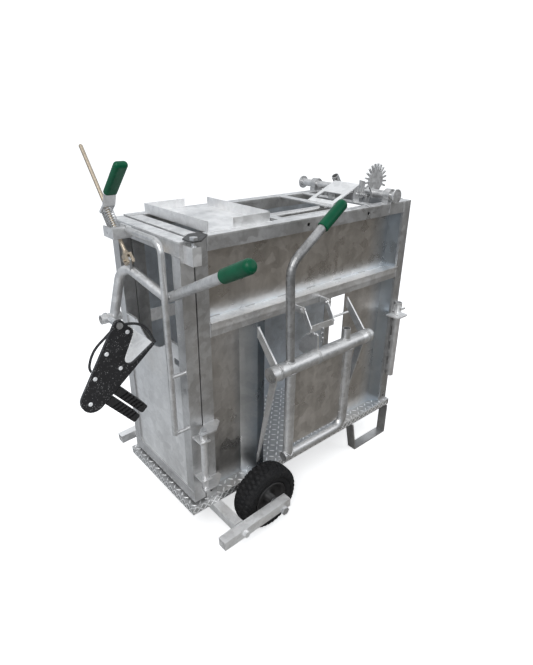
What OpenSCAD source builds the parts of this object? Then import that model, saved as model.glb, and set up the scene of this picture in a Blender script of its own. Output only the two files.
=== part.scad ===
// Calf dehorning crate on two wheels, hot-dip galvanised.
// X runs from the head end to the tail end, the operator stands on the low Y side, Z is up.
// Lengths are millimetres.  Heights named *_up are measured from the underside of the floor.

/* [Crate body] */
// Length of the tread plate floor
floor_l = 1270; // [1200:5:1400]
// Width of the tread plate floor
floor_w = 517; // [500:1:560]
// Thickness of the tread plate
floor_t = 5; // [4:0.5:6]
// Depth of the lips folded down round the floor
lip_h = 34; // [28:1:45]
// Height of the wall tops above the underside of the floor
wall_h = 1100; // [1060:5:1160]
// Height of the underside of the floor above the ground
stand_h = 175; // [168:1:185]
// Outer size of the square frame tube
frame_tube = 50; // [45:1:55]
// Wall thickness of the frame tube
frame_wall = 3; // [2:0.5:4]
// Distance from the edge of the floor to the outer face of the frames
frame_inset = 14; // [12:1:20]
// Start of the side walls behind the front edge of the floor
wall_front = 75; // [73:1:80]
// Thickness of the galvanised sheets
sheet_t = 3; // [2:0.5:4]
// Height of the underside of the near middle rail
near_rail_up = 740; // [730:5:760]
// Height of the underside of the far middle rail
far_rail_up = 655; // [600:5:760]
// Depth of a middle rail
mid_rail_h = 55; // [45:5:70]
// Front edge of the side opening
open_front = 375; // [360:5:380]
// Rear edge of the side opening
open_rear = 840; // [830:1:880]
// Diameter of the vent holes in the tubes
vent_d = 14; // [8:1:18]

/* [Top of the crate] */
// Width of the flat cross bars
cross_bar_w = 40; // [30:1:50]
// Thickness of the flat cross bars
cross_bar_t = 8; // [6:1:10]
// Middle of the front cross bar
cross_front = 500; // [480:5:560]
// Middle of the rear cross bar
cross_rear = 860; // [820:5:900]
// Diameter of the two slide bars
slide_d = 25; // [20:1:30]
// Distance of the first slide bar from the near edge of the floor
slide_near = 115; // [105:1:125]
// Distance between the slide bars
slide_pitch = 85; // [70:1:100]
// Front edge of the tool tray
tray_front = 150; // [130:5:160]
// Length of the tool tray
tray_l = 280; // [240:5:300]
// Height of the flanges of the tool tray
tray_flange = 35; // [25:1:50]
// Distance of the tool tray from the edge of the floor
tray_in = 45; // [34:1:50]

/* [Wheels] */
// Outer diameter of the tyre
tyre_d = 288; // [270:2:296]
// Width of the tyre
tyre_w = 98; // [80:1:104]
// Diameter of the wheel rim
rim_d = 150; // [140:1:160]
// Middle of the wheels behind the front edge of the floor
wheel_x = 318; // [310:1:330]
// Gap between the edge of the floor and the tyre
wheel_gap = 17; // [12:1:25]
// Diameter of the wheel axle
axle_d = 20; // [16:1:24]
// Outer size of the wheel arm and of the cross tube
arm_tube = 40; // [35:1:45]
// Front end of the wheel arm
arm_front = 16; // [0:1:30]
// Distance from the axle to the rear end of the arm
arm_tail = 34; // [26:1:45]
// Rise of the wheel arm towards the rear
arm_tilt = 3; // [0:0.5:4]
// Middle of the cross tube under the floor
cross_x = 115; // [100:1:140]
// Distance from the tyre to the inner face of the arm
arm_gap = 33; // [20:1:40]
// Width of the rear skid
skid_w = 48; // [40:1:60]
// Thickness of the rear skid
skid_t = 8; // [6:1:10]
// Length of the sole of the rear skid
skid_l = 255; // [200:5:280]

/* [Front gate] */
// Clearance between the gate and the side walls
gate_gap = 5; // [4:0.5:6]
// Height of the top edge of the neck panel
neck_up = 720; // [680:5:740]
// Half width of the neck notch
notch_half = 120; // [90:5:130]
// Depth of the neck notch
notch_deep = 70; // [40:5:80]
// Diameter of the guard loop tube
loop_d = 22; // [18:1:24]
// Stand-off of the guard loop from the face of the gate
loop_off = 50; // [49:1:54]
// Height of the bottom end of the guard loop
loop_low_up = 385; // [350:5:420]
// Diameter of the hinge pins of the gate
hinge_pin_d = 16; // [12:1:18]
// Outer diameter of the hinge sleeve of the gate
hinge_sleeve_d = 26; // [24:1:28]
// Height of the lower gate bracket
bracket_low_up = 130; // [120:5:150]
// Distance between the two lower gate brackets
bracket_pitch = 258; // [240:2:280]

/* [Chin lift] */
// Outer diameter of the lever tubes
lever_d = 34; // [30:1:34]
// Wall thickness of the lever tubes
lever_wall = 3; // [2:0.5:4]
// Depth of the pivot of the lift lever below the wall tops
lift_drop = 185; // [175:5:200]
// Reach of the lift handle beyond its pivot
lift_reach = 405; // [360:5:450]
// Rise of the lift handle from the pivot to its end
lift_rise = 200; // [150:5:230]
// Diameter of the lock rod
rod_d = 14; // [12:0.5:15]
// Length of the lock rod from the clevis pin
rod_l = 455; // [380:5:500]
// Lean of the lock rod from the vertical
rod_tilt = 39.5; // [38:0.5:41]
// Coils of the lock spring
spring_turns = 9; // [7:1:10]
// Wire diameter of the lock spring
spring_wire = 3; // [2.5:0.1:3.5]
// Outer diameter of the lock spring
spring_d = 36; // [35:0.5:40]
// Length of the lock spring
spring_l = 80; // [75:1:84]
// Outer diameter of the dipped hand grips
grip_d = 44; // [40:1:46]
// Length of the dipped hand grips
grip_l = 140; // [110:5:160]

/* [Head scoop] */
// Length of the scoop floor
scoop_l = 328; // [315:1:335]
// Width of the steel channel of the scoop
scoop_w = 150; // [146:2:170]
// Height of the far side of the scoop at its rear end
scoop_side_h = 60; // [30:2:70]
// Slope of the scoop floor
scoop_slope = 39; // [36:0.5:42]
// Thickness of the plastic cheeks
cheek_t = 12; // [8:1:13]
// Diameter of the scoop pivot pin
scoop_pin_d = 16; // [12:1:18]
// Diameter of the nose rope
rope_d = 10; // [8:0.5:11]
// Length of a jam cleat below the scoop
cleat_l = 158; // [120:2:165]
// Width of a jam cleat
cleat_w = 34; // [28:1:36]

/* [Flank squeeze] */
// Outer diameter of the squeeze tube
squeeze_d = 60; // [56:1:64]
// Diameter of the shaft inside the squeeze tube
squeeze_shaft_d = 42; // [38:1:44]
// Distance of the squeeze axis outside the edge of the floor
squeeze_out = 100; // [95:1:106]
// Height of the squeeze axis
squeeze_up = 570; // [560:2:580]
// Front end of the turning squeeze tube
squeeze_front = 388; // [386:1:392]
// Length of the turning squeeze tube
squeeze_l = 432; // [425:1:440]
// Length of the fixed front bearing of the squeeze shaft
bearing_l = 78; // [60:1:84]
// Height of the squeeze lever above the squeeze axis
squeeze_lever_h = 590; // [520:5:620]
// Outer diameter of the pusher loop
pusher_d = 42; // [36:1:44]
// Depth of the pusher loop below the squeeze axis
pusher_h = 415; // [400:5:445]
// Radius over the teeth of the squeeze ratchet
ratchet_r = 100; // [96:1:104]
// Thickness of the ratchet plates
ratchet_t = 8; // [6:1:10]

/* [Rump bar] */
// Middle of the rump shaft behind the front edge of the floor
rump_x = 1112; // [1100:1:1120]
// Diameter of the rump shaft
rump_shaft_d = 34; // [30:1:36]
// Height of the rump shaft above the wall tops
rump_rise = 32; // [28:1:36]
// Depth of the rump hoop below its shaft
rump_drop = 440; // [400:10:660]
// Radius over the teeth of the fan plate
fan_r = 75; // [70:1:96]
// Number of fan teeth
fan_teeth = 14; // [10:1:16]

/* [Rear sockets] */
// Height of the lower end of the race sockets
race_low_up = 200; // [180:5:240]
// Length of the race sockets
race_l = 408; // [380:2:420]
// Bore of the race sockets
race_bore = 27; // [25:0.5:28]

/* [Fits] */
// Radial clearance of a turning pin or shaft
run_fit = 0.05; // [0.03:0.01:0.1]
// Clearance between parts that slide past each other
slip = 0.5; // [0.3:0.1:1]
// Clearance round a bolt in its hole
bolt_gap = 0.3; // [0.2:0.05:0.5]

/* [Hidden] */
$fn = 48;
galv = "silver";
dull = "darkgray";
green = "darkgreen";
black = [0.12, 0.12, 0.13];

// Heights above the ground and middle lines
deck_z = stand_h + lip_h;
top_z = stand_h + wall_h;
mid_y = floor_w / 2;
near_y = frame_inset;
far_y = floor_w - frame_inset;
wall_end = floor_l - frame_inset;
near_rail_z = stand_h + near_rail_up;
far_rail_z = stand_h + far_rail_up;
sheet_y = near_y + frame_tube - sheet_t - 2;
far_sheet_y = far_y - frame_tube + 2;
wheel_z = tyre_d / 2;
hub_proud = 6;
wheel_y = -wheel_gap - tyre_w / 2;
arm_in_y = -wheel_gap - tyre_w - arm_gap;
squeeze_y = -squeeze_out;
squeeze_z = stand_h + squeeze_up;
squeeze_end = squeeze_front + squeeze_l;
gate_front = wall_front - gate_gap - frame_tube;
gate_low = deck_z + 11;
gate_top = top_z - gate_gap;
loop_x = gate_front - loop_off;
loop_z = top_z - 2;
loop_low_z = stand_h + loop_low_up;
hinge_x = gate_front + 30;
hinge_y = near_y - 38;
lift_y = near_y + frame_tube / 2;
lift_z = top_z - lift_drop;
lift_x = gate_front - (loop_off - loop_d / 2) / 2;
leg_y = mid_y + 26;
leg_x = lift_x - 52;
knee_z = lift_z + 68;
foot_x = leg_x - 51;
foot_z = lift_z - 123;
clevis_y = leg_y - 50;
clevis_x = leg_x + 4;
clevis_z = lift_z + 86;
guide_s = 110;
rod_dir = [0, sin(rod_tilt), cos(rod_tilt)];
guide_y = clevis_y + guide_s * rod_dir.y;
guide_z = clevis_z + guide_s * rod_dir.z;
scoop_near = leg_y - scoop_w / 2;
scoop_pin_s = scoop_l - 30;
scoop_pin_t = 163;
pin_x = foot_x - 22;
pin_z = foot_z;
scoop_x = pin_x - scoop_pin_s * cos(scoop_slope) + scoop_pin_t * sin(scoop_slope);
scoop_z = pin_z - scoop_pin_s * sin(scoop_slope) - scoop_pin_t * cos(scoop_slope);
pawl_y = near_y - 42;
pawl_z = near_rail_z + 12;
rump_z = top_z + rump_rise;
fan_y = near_y + 108;
cover_x0 = cross_rear;
cover_x1 = rump_x - 78;
cover_y0 = fan_y + 16;
cover_w = 150;
cover_rise = 70;
pawl_pin_x = cover_x1 - 15;
pawl_pin_z = top_z + 34;
fan_mid = rump_z + 52;
nose_x = rump_x - fan_r - 1.2;
race_x = wall_end - 18;
race_y = near_y - 19;
race_low_z = stand_h + race_low_up;
race_high_z = race_low_z + race_l;
low_plate_z = stand_h + bracket_low_up;
high_plate_z = low_plate_z + bracket_pitch;
bearing_x = squeeze_front - bearing_l;

// The origin is under the middle of the whole crate
reach_near = lift_y - lift_reach - 8;
reach_far = floor_w - arm_in_y + arm_tube + 12;
reach_head = scoop_x + 42 * cos(scoop_slope) - 45 * sin(scoop_slope) - 45;
origin_x = (floor_l + reach_head) / 2;
origin_y = (reach_near + reach_far) / 2;

module in_crate() translate([-origin_x, -origin_y, 0]) children();

// Unit vector and the points of an arc, n steps from angle a0 to a1
function unit(v) = v / norm(v);
function arc(c, r, a0, a1, n = 10) =
    [for (i = [0:n]) c + r * [cos(a0 + (a1 - a0) * i / n), sin(a0 + (a1 - a0) * i / n)]];

// Puts children with their Z axis along a direction from a point
module along(p, d) translate(p) rotate([0, acos(d.z / norm(d)), atan2(d.y, d.x)]) children();

module rod(a, b, r) along(a, b - a) cylinder(h = norm(b - a), r = r);

function turn_at(p, i) = acos(unit(p[i] - p[i - 1]) * unit(p[i + 1] - p[i]));
function inward(a, b) = unit(b - (a * b) * a);

// Straights and bends of a run from its corner i on, each laid in the frame of the one before:
// Z ahead, u the X axis of that frame
module run_on(p, bend, r, extra, i, u, back) {
    n = len(p) - 1;
    a = unit(p[i + 1] - p[i]);
    turn = i + 1 < n ? turn_at(p, i + 1) : 0;
    ahead = i + 1 < n ? -bend * tan(turn / 2) : extra;
    l = norm(p[i + 1] - p[i]) - back + ahead;
    translate([0, 0, i == 0 ? -extra : 0]) cylinder(h = l + (i == 0 ? extra : 0), r = r);
    if (i + 1 < n) {
        b = unit(p[i + 2] - p[i + 1]);
        v = inward(a, b);
        translate([0, 0, l]) rotate([0, 0, atan2(cross(u, v) * a, u * v)]) {
            translate([bend, 0, 0]) rotate([90, 0, 180]) rotate_extrude(angle = turn)
                translate([bend, 0]) circle(r = r);
            translate([bend * (1 - cos(turn)), 0, bend * sin(turn)]) rotate([0, turn, 0])
                run_on(p, bend, r, extra, i + 1, cos(turn) * v - sin(turn) * a, bend * tan(turn / 2));
        }
    }
}

// Round bar through a list of points with one bend radius, its ends run on by extra
module bent_bar(p, bend, r, extra = 0) {
    a = unit(p[1] - p[0]);
    u = inward(a, unit(p[2] - p[1]));
    w = cross(a, u);
    multmatrix([[u.x, w.x, a.x, p[0].x], [u.y, w.y, a.y, p[0].y], [u.z, w.z, a.z, p[0].z]])
        run_on(p, bend, r, extra, 0, u, 0);
}

module bent_tube(p, bend, r, wall) {
    difference() {
        bent_bar(p, bend, r);
        bent_bar(p, bend, r - wall, 1);
    }
}

// Square tube between two opposite corners, and the core that hollows it
module bar(a, b) translate(a) cube(b - a);
module core(a, b, w = frame_wall) translate(a + [w, w, w]) cube(b - a - 2 * [w, w, w]);

// Triangles of a tube swept along a path, each ring turned to its own reference vector
function ring(p, t, ref, r, n) =
    let (u = unit(ref - (ref * t) * t), v = cross(t, u))
    [for (k = [0:n - 1]) p + r * (cos(360 * k / n) * u + sin(360 * k / n) * v)];
function sweep_points(path, refs, r, n) = [
    for (i = [0:len(path) - 1])
        each ring(path[i], unit(path[min(i + 1, len(path) - 1)] - path[max(i - 1, 0)]), refs[i], r, n)
];
function sweep_faces(m, n) = concat(
    [[for (k = [0:n - 1]) k]],
    [for (i = [0:m - 2]) for (k = [0:n - 1]) [i * n + k, (i + 1) * n + k, i * n + (k + 1) % n]],
    [for (i = [0:m - 2])
    for (k = [0:n - 1]) [(i + 1) * n + k, (i + 1) * n + (k + 1) % n, i * n + (k + 1) % n]],
    [[for (k = [n - 1:-1:0]) (m - 1) * n + k]]
);
module sweep(path, refs, r, n) {
    polyhedron(points = sweep_points(path, refs, r, n), faces = sweep_faces(len(path), n));
}

// Points of a run with its corners rounded by arcs of a few steps
function rounded(p, bend, extra, steps = 6) = let (n = len(p) - 1) concat(
    [p[0] - extra * unit(p[1] - p[0])],
    [for (i = [1:n - 1]) let (
        a = unit(p[i] - p[i - 1]), turn = turn_at(p, i), v = inward(a, unit(p[i + 1] - p[i])),
        c = p[i] - a * bend * tan(turn / 2) + v * bend)
        each [for (k = [0:steps]) c + bend * (sin(turn * k / steps) * a - cos(turn * k / steps) * v)]],
    [p[n] + extra * unit(p[n] - p[n - 1])]);

// Lever tube with bends of any angle
module swept_bar(p, bend, r, extra = 0, n = 24) {
    q = rounded(p, bend, extra);
    sweep(q, [for (i = q) [1, -0.3, 0.1]], r, n);
}
module swept_tube(p, bend, r, wall) difference() {
    swept_bar(p, bend, r);
    swept_bar(p, bend, r - wall, 1, 16);
}

// Hexagon head or nut on its face at the origin, pointing along Z
module hexagon(across, h) cylinder(h = h, d = across / cos(30), $fn = 6);

// Open tray of tread plate with its four lips folded down
module floor_pan() in_crate() color(galv) difference() {
    translate([0, 0, stand_h]) cube([floor_l, floor_w, lip_h]);
    translate([floor_t, floor_t, stand_h - 1])
        cube([floor_l - 2 * floor_t, floor_w - 2 * floor_t, lip_h - floor_t + 1]);
}

// Two posts with a top rail and a middle rail, one hollow weldment
module side_frame(y0, rail_z) {
    y1 = y0 + frame_tube;
    bars = [
        [[wall_front, y0, deck_z], [wall_front + frame_tube, y1, top_z]],
        [[wall_end - frame_tube, y0, deck_z], [wall_end, y1, top_z]],
        [[wall_front, y0, top_z - frame_tube], [wall_end, y1, top_z]],
        [[wall_front, y0, rail_z], [wall_end, y1, rail_z + mid_rail_h]],
    ];
    difference() {
        for (b = bars) bar(b[0], b[1]);
        for (b = bars) core(b[0], b[1]);
        for (x = [wall_front + frame_tube / 2, wall_end - frame_tube / 2])
            translate([x, y0 - 1, deck_z + 30]) rotate([-90, 0, 0]) cylinder(h = frame_tube + 2, d = vent_d);
        for (x = [cross_front + 90, cross_rear + 90])
            translate([x, y0 - 1, top_z - frame_tube / 2]) rotate([-90, 0, 0])
                cylinder(h = frame_tube + 2, d = vent_d);
    }
}

// The near frame also has the drip ledge along its middle rail
module near_frame() in_crate() color(galv) {
    side_frame(near_y, near_rail_z);
    translate([wall_front + frame_tube, near_y - 8, near_rail_z + mid_rail_h - 4])
        cube([wall_end - wall_front - 2 * frame_tube, 8, 4]);
}

module far_frame() in_crate() color(galv) side_frame(far_y - frame_tube, far_rail_z);

// Square cross members at both ends and three flat bars between them
module top_bars() in_crate() color(galv) {
    y0 = near_y + frame_tube;
    y1 = far_y - frame_tube;
    for (x = [wall_front, wall_end - frame_tube]) difference() {
        bar([x, y0, top_z - frame_tube], [x + frame_tube, y1, top_z]);
        translate([x + frame_wall, y0 - 1, top_z - frame_tube + frame_wall])
            cube([frame_tube - 2 * frame_wall, y1 - y0 + 2, frame_tube - 2 * frame_wall]);
    }
    for (x = [cross_front, cross_rear, cover_x1 - cross_bar_w / 2])
        translate([x - cross_bar_w / 2, y0, top_z - cross_bar_t]) cube([cross_bar_w, y1 - y0, cross_bar_t]);
}

// Two round bars hung under the cross bars for the tools to slide on
module slide_bars() in_crate() color(galv)
    for (y = [slide_near, slide_near + slide_pitch]) {
        start = y == slide_near ? wall_front + frame_tube : cross_front - cross_bar_w / 2;
        rod([start, y, top_z - cross_bar_t - slide_d / 2],
            [cross_rear + cross_bar_w / 2, y, top_z - cross_bar_t - slide_d / 2], slide_d / 2);
    }

// Sheet that stands on its edge: a plan outline of given thickness carried up
module fence(path, z0, z1) {
    translate([0, 0, z0]) linear_extrude(z1 - z0)
        polygon(concat(path, [for (i = [len(path) - 1:-1:0]) path[i] + [0, sheet_t]]));
}

// Pan-like upper sheet, its rear end returned to the face of the frame
module near_upper_sheet() in_crate() color(dull)
    fence([[wall_front + frame_tube, sheet_y], [wall_end - frame_tube - 45, sheet_y],
        [wall_end - frame_tube, near_y + 12]],
        near_rail_z + mid_rail_h, top_z - frame_tube);

// Lower front sheet, folded out to a jamb along the side opening
module near_front_sheet() in_crate() color(dull)
    fence([[wall_front + frame_tube, sheet_y], [open_front - 90, sheet_y], [open_front - 35, near_y],
        [open_front, near_y]],
        deck_z, near_rail_z);

// Lower rear sheet, folded out to a jamb at the opening and to the face of the rear post
module near_rear_sheet() in_crate() color(dull)
    fence([[open_rear, near_y], [open_rear + 35, near_y], [open_rear + 90, sheet_y],
        [wall_end - frame_tube - 45, sheet_y], [wall_end - frame_tube, near_y + 12]],
        deck_z, near_rail_z);

module far_upper_sheet() in_crate() color(dull)
    fence([[wall_front + frame_tube, far_sheet_y], [wall_end - frame_tube, far_sheet_y]],
        far_rail_z + mid_rail_h, top_z - frame_tube);

module far_lower_sheet() in_crate() color(dull)
    fence([[wall_front + frame_tube, far_sheet_y], [wall_end - frame_tube, far_sheet_y]], deck_z, far_rail_z);

// Flat tray on the side rails with an open flange on each side
module tool_tray() in_crate() color(galv) {
    y0 = tray_in;
    w = floor_w - 2 * y0;
    x1 = tray_front + tray_l;
    difference() {
        translate([tray_front, y0, top_z]) cube([tray_l, w, sheet_t]);
        for (x = [tray_front + 70, x1 - 60]) for (y = [y0 + w * 0.3, y0 + w * 0.7])
            translate([x, y, top_z - 1]) cylinder(h = sheet_t + 2, d = 9);
    }
    translate([0, 0, top_z + sheet_t]) {
        translate([tray_front, y0, 0]) cube([sheet_t, w, tray_flange]);
        translate([x1 - sheet_t, y0 + 20, 0]) cube([sheet_t, w - 40, tray_flange]);
        translate([x1 - 175, y0, 0]) cube([165, sheet_t, tray_flange]);
        translate([tray_front + 10, y0 + w - sheet_t, 0]) cube([170, sheet_t, tray_flange]);
    }
}

// Bent bracket of flat plate that carries one end of the squeeze shaft, with its bearing
module gusset(x, cap_x, cap_l) {
    z_up = near_rail_z - 20;
    z_low = deck_z + 45;
    reach = near_y - squeeze_y;
    arm = 46;
    difference() {
        union() {
            translate([x + ratchet_t, near_y, 0]) rotate([90, 0, -90]) linear_extrude(ratchet_t)
                polygon([[0, z_up], [0, z_up - arm], [reach - 30, squeeze_z], [0, z_low + arm * 1.1],
                    [0, z_low],
                    [reach, squeeze_z - 24], [reach, squeeze_z + 24]]);
            translate([cap_x, squeeze_y, squeeze_z]) rotate([0, 90, 0]) cylinder(h = cap_l, d = squeeze_d);
        }
        translate([cap_x - 1, squeeze_y, squeeze_z]) rotate([0, 90, 0])
            cylinder(h = cap_l + 2, d = squeeze_shaft_d + 2 * run_fit);
    }
}

module gussets() in_crate() color(galv) {
    gusset(squeeze_front - 48, bearing_x, bearing_l - slip);
    gusset(squeeze_end + 34, squeeze_end + slip, 60);
}

// Fixed shaft through the squeeze tube, with an end cap and its dowel
module squeeze_shaft() in_crate() color(galv) {
    translate([bearing_x, squeeze_y, squeeze_z]) rotate([0, 90, 0])
        cylinder(h = squeeze_l + bearing_l + 60 + slip, d = squeeze_shaft_d);
    for (x = [bearing_x - 6, squeeze_end + 60 + slip])
        translate([x, squeeze_y, squeeze_z]) rotate([0, 90, 0]) cylinder(h = 6, d = squeeze_d);
}

// Tube under the floor that carries both wheel arms
module cross_tube() in_crate() color(galv) difference() {
    bar([cross_x - arm_tube / 2, arm_in_y, stand_h - arm_tube],
        [cross_x + arm_tube / 2, floor_w - arm_in_y, stand_h]);
    translate([cross_x - arm_tube / 2 + frame_wall, arm_in_y - 1, stand_h - arm_tube + frame_wall])
        cube([arm_tube - 2 * frame_wall, floor_w - 2 * arm_in_y + 2, arm_tube - 2 * frame_wall]);
}

// Square socket tube with its open end to the front and the axle hole near its tail
module wheel_arm() {
    half = arm_tube / 2;
    difference() {
        translate([cross_x, arm_in_y - arm_tube, stand_h - half]) rotate([0, -arm_tilt, 0])
            translate([arm_front - cross_x, 0, -half]) difference() {
                cube([wheel_x + arm_tail - arm_front, arm_tube, arm_tube]);
                translate([-1, frame_wall, frame_wall])
                    cube([wheel_x + arm_tail - arm_front + 2, arm_tube - 2 * frame_wall,
                        arm_tube - 2 * frame_wall]);
            }
        translate([wheel_x, arm_in_y + 1, wheel_z]) rotate([90, 0, 0])
            cylinder(h = arm_tube + 2, d = axle_d + 2 * bolt_gap);
    }
    translate([cross_x, arm_in_y - arm_tube, stand_h - half]) rotate([90, 0, 0]) hexagon(24, 12);
}

module both_sides() {
    children();
    translate([0, floor_w, 0]) mirror([0, 1, 0]) children();
}

module wheel_arms() in_crate() color(galv) both_sides() wheel_arm();

// Axle bolt through the arm and the hub, with its washer, head and nut
module axle_bolts() in_crate() color("gray") both_sides() {
    y0 = arm_in_y - arm_tube;
    translate([wheel_x, y0 - 10, wheel_z]) rotate([-90, 0, 0]) {
        cylinder(h = 10 + arm_tube + arm_gap + tyre_w + hub_proud + 9, d = axle_d);
        hexagon(32, 10);
        translate([0, 0, 10 + arm_tube]) cylinder(h = arm_gap - hub_proud - slip, d = axle_d + 16);
        translate([0, 0, 10 + arm_tube + arm_gap + tyre_w + hub_proud + slip]) hexagon(30, 6);
    }
}

// Sled foot of bent flat bar under each rear corner
module rear_skids() in_crate() color(galv) both_sides() {
    x1 = wall_end;
    x0 = x1 - skid_l;
    translate([0, -8, 0]) {
        translate([x1 - skid_t, 0, 0]) cube([skid_t, skid_w, stand_h]);
        translate([x0, 0, 0]) cube([skid_l, skid_w, skid_t]);
        translate([0, skid_w, 0]) rotate([90, 0, 0]) linear_extrude(skid_w)
            polygon([[x0, 0], [x0 + skid_t, 0], [x0 - 40 + skid_t, stand_h], [x0 - 40, stand_h]]);
    }
}

// Flat plate with one round end, in plan, its round end at the pin
module lug_plate(x0, x1, y0, y1, z, t, hole) difference() {
    translate([0, 0, z]) linear_extrude(t) polygon([[x0, y0], [x1, y0], [x1, y1], [x0, y1]]);
    translate([hinge_x, hinge_y, z - 1]) cylinder(h = t + 2, d = hole);
}

// Plates on the near front post that hold the gate pins: two below and a strap on top
module gate_brackets() in_crate() color(galv) {
    hole = hinge_pin_d + 2 * run_fit;
    for (z = [low_plate_z, high_plate_z]) difference() {
        translate([0, 0, z]) linear_extrude(6) polygon([
            [hinge_x - 17, near_y - 58], [wall_front + 20, near_y - 58], [wall_front + 62, near_y - 20],
            [wall_front + 62, near_y], [wall_front, near_y], [hinge_x - 17, hinge_y + 6]]);
        translate([hinge_x, hinge_y, z - 1]) cylinder(h = 8, d = hole);
    }
    difference() {
        translate([0, 0, top_z]) linear_extrude(5) polygon([
            [hinge_x - 17, hinge_y - 17], [hinge_x + 17, hinge_y - 17], [wall_front + 52, near_y],
            [wall_front + 52, near_y + 44], [wall_front + 8, near_y + 44], [hinge_x - 17, near_y]]);
        translate([hinge_x, hinge_y, top_z - 1]) cylinder(h = 7, d = hole);
    }
}

// Upper and lower pins with head and nut
module gate_pins() in_crate() color("gray") {
    z0 = low_plate_z;
    z1 = high_plate_z;
    translate([hinge_x, hinge_y, z0 - 14]) cylinder(h = z1 - z0 + 6 + 14, d = hinge_pin_d);
    translate([hinge_x, hinge_y, z0 - 12]) hexagon(24, 12);
    translate([hinge_x, hinge_y, z1 + 6]) hexagon(24, 10);
    translate([hinge_x, hinge_y, top_z - 75]) cylinder(h = 80, d = hinge_pin_d);
    translate([hinge_x, hinge_y, top_z + 5]) hexagon(24, 9);
}

// Vertical pin sockets at the rear corners, each with its plate and thumb screw
module race_sockets() in_crate() color(galv) both_sides() {
    z0 = race_low_z;
    z1 = race_high_z;
    difference() {
        union() {
            translate([race_x, race_y, z0]) cylinder(h = z1 - z0, d = 34);
            difference() {
                translate([0, 0, z1 - 60]) linear_extrude(6) polygon(concat(
                    [[race_x + 17, near_y], [race_x - 70, near_y]],
                    arc([race_x - 56, near_y - 56], 14, 180, 270, 6),
                    arc([race_x + 3, near_y - 56], 14, 270, 360, 6)));
                translate([race_x - 40, near_y - 42, z1 - 61]) cylinder(h = 8, d = 12);
            }
            translate([race_x, race_y - 16, z1 - 26]) rotate([90, 0, 0]) cylinder(h = 9, d = 9);
            translate([race_x - 14, race_y - 31, z1 - 30]) cube([28, 6, 8]);
        }
        translate([race_x, race_y, z0 - 1]) cylinder(h = z1 - z0 + 2, d = race_bore);
    }
}

pawl_x0 = squeeze_front + 147;
pawl_x1 = pawl_x0 + 140;

// Lugs on the near middle rail with the two pivot bolts of the pawl
module pawl_lugs() in_crate() color(galv) for (x = [pawl_x0 - 9, pawl_x1 + 1]) {
    difference() {
        translate([x, pawl_y - 12, near_rail_z]) cube([8, near_y - pawl_y + 12, 26]);
        translate([x - 1, pawl_y, pawl_z]) rotate([0, 90, 0]) cylinder(h = 10, d = 12);
    }
    inner = x < pawl_x0;
    translate([inner ? x - 8 : x - 12, pawl_y, pawl_z]) rotate([0, 90, 0])
        cylinder(h = 28, d = 12 - 2 * bolt_gap);
    translate([inner ? x - 8 : x + 8, pawl_y, pawl_z]) rotate([0, 90, 0]) hexagon(19, 8);
}

// Split clamps on both top rails that hold the rump shaft
module rump_clamps() in_crate() color(galv) both_sides() {
    y0 = near_y + 6;
    difference() {
        union() {
            translate([rump_x, y0, rump_z]) rotate([-90, 0, 0]) cylinder(h = 32, d = rump_shaft_d + 22);
            translate([rump_x - 28, y0, top_z]) cube([56, 32, rump_rise * 0.5]);
            translate([rump_x - 16, near_y - 5, top_z - 44]) cube([32, 5, 50]);
            translate([rump_x - 16, near_y - 5, top_z]) cube([32, 12, 6]);
        }
        translate([rump_x, y0 - 1, rump_z]) rotate([-90, 0, 0])
            cylinder(h = 34, d = rump_shaft_d + 2 * run_fit);
    }
}

// Gate frame of square tube with a vent hole near the top
module gate_frame() in_crate() color(galv) {
    x1 = gate_front + frame_tube;
    bars = [
        [[gate_front, near_y, gate_low], [x1, near_y + frame_tube, gate_top]],
        [[gate_front, far_y - frame_tube, gate_low], [x1, far_y, gate_top]],
        [[gate_front, near_y, gate_top - frame_tube], [x1, far_y, gate_top]],
        [[gate_front, near_y, gate_low], [x1, far_y, gate_low + frame_tube]],
    ];
    difference() {
        for (b = bars) bar(b[0], b[1]);
        for (b = bars) core(b[0], b[1]);
        translate([gate_front + 28, near_y - 1, gate_top - 16]) rotate([-90, 0, 0])
            cylinder(h = 10, d = vent_d);
        translate([gate_front + 28, far_y - 9, gate_low + 16]) rotate([-90, 0, 0])
            cylinder(h = 10, d = vent_d);
        translate([gate_front - 1, lift_y, lift_z]) rotate([0, 90, 0])
            cylinder(h = frame_tube + 2, d = 16 + 2 * bolt_gap);
    }
}

// Lower gate sheet with a shallow neck notch and a rolled top edge
module neck_panel() in_crate() color(dull) {
    z1 = stand_h + neck_up;
    y0 = near_y + frame_tube;
    y1 = far_y - frame_tube;
    notch_r = (notch_half * notch_half + notch_deep * notch_deep) / (2 * notch_deep);
    span = asin(notch_half / notch_r);
    dip = arc([mid_y, z1 - notch_deep + notch_r], notch_r, 270 - span, 270 + span, 16);
    translate([gate_front + 6, 0, 0]) rotate([90, 0, 90]) linear_extrude(sheet_t) difference() {
        polygon(concat([[y0, z1]], [[y0, gate_low + frame_tube], [y1, gate_low + frame_tube], [y1, z1]],
            [for (i = [len(dip) - 1:-1:0]) dip[i]]));
        translate([y0 + 4, z1 - 90]) square([38, 26]);
    }
    for (y = [[y0, mid_y - notch_half], [mid_y + notch_half, y1]])
        translate([gate_front, y[0], z1 - 4]) cube([6, y[1] - y[0], 4]);
}

// Round bar loop that guards the lift lever, on two pegs from the near post
module guard_loop() in_crate() color(galv) {
    y_end = guide_y - 46;
    difference() {
        union() {
            bent_bar([[loop_x, lift_y, loop_low_z], [loop_x, lift_y, loop_z], [loop_x, y_end, loop_z]],
                40, loop_d / 2);
            for (z = [loop_low_z + 12, loop_low_z + 245])
                rod([loop_x, lift_y - 12, z], [gate_front, lift_y - 12, z], 7);
        }
        translate([loop_x - 30, y_end - 1, loop_z - 30]) cube([60, 40, 60]);
    }
}

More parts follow.
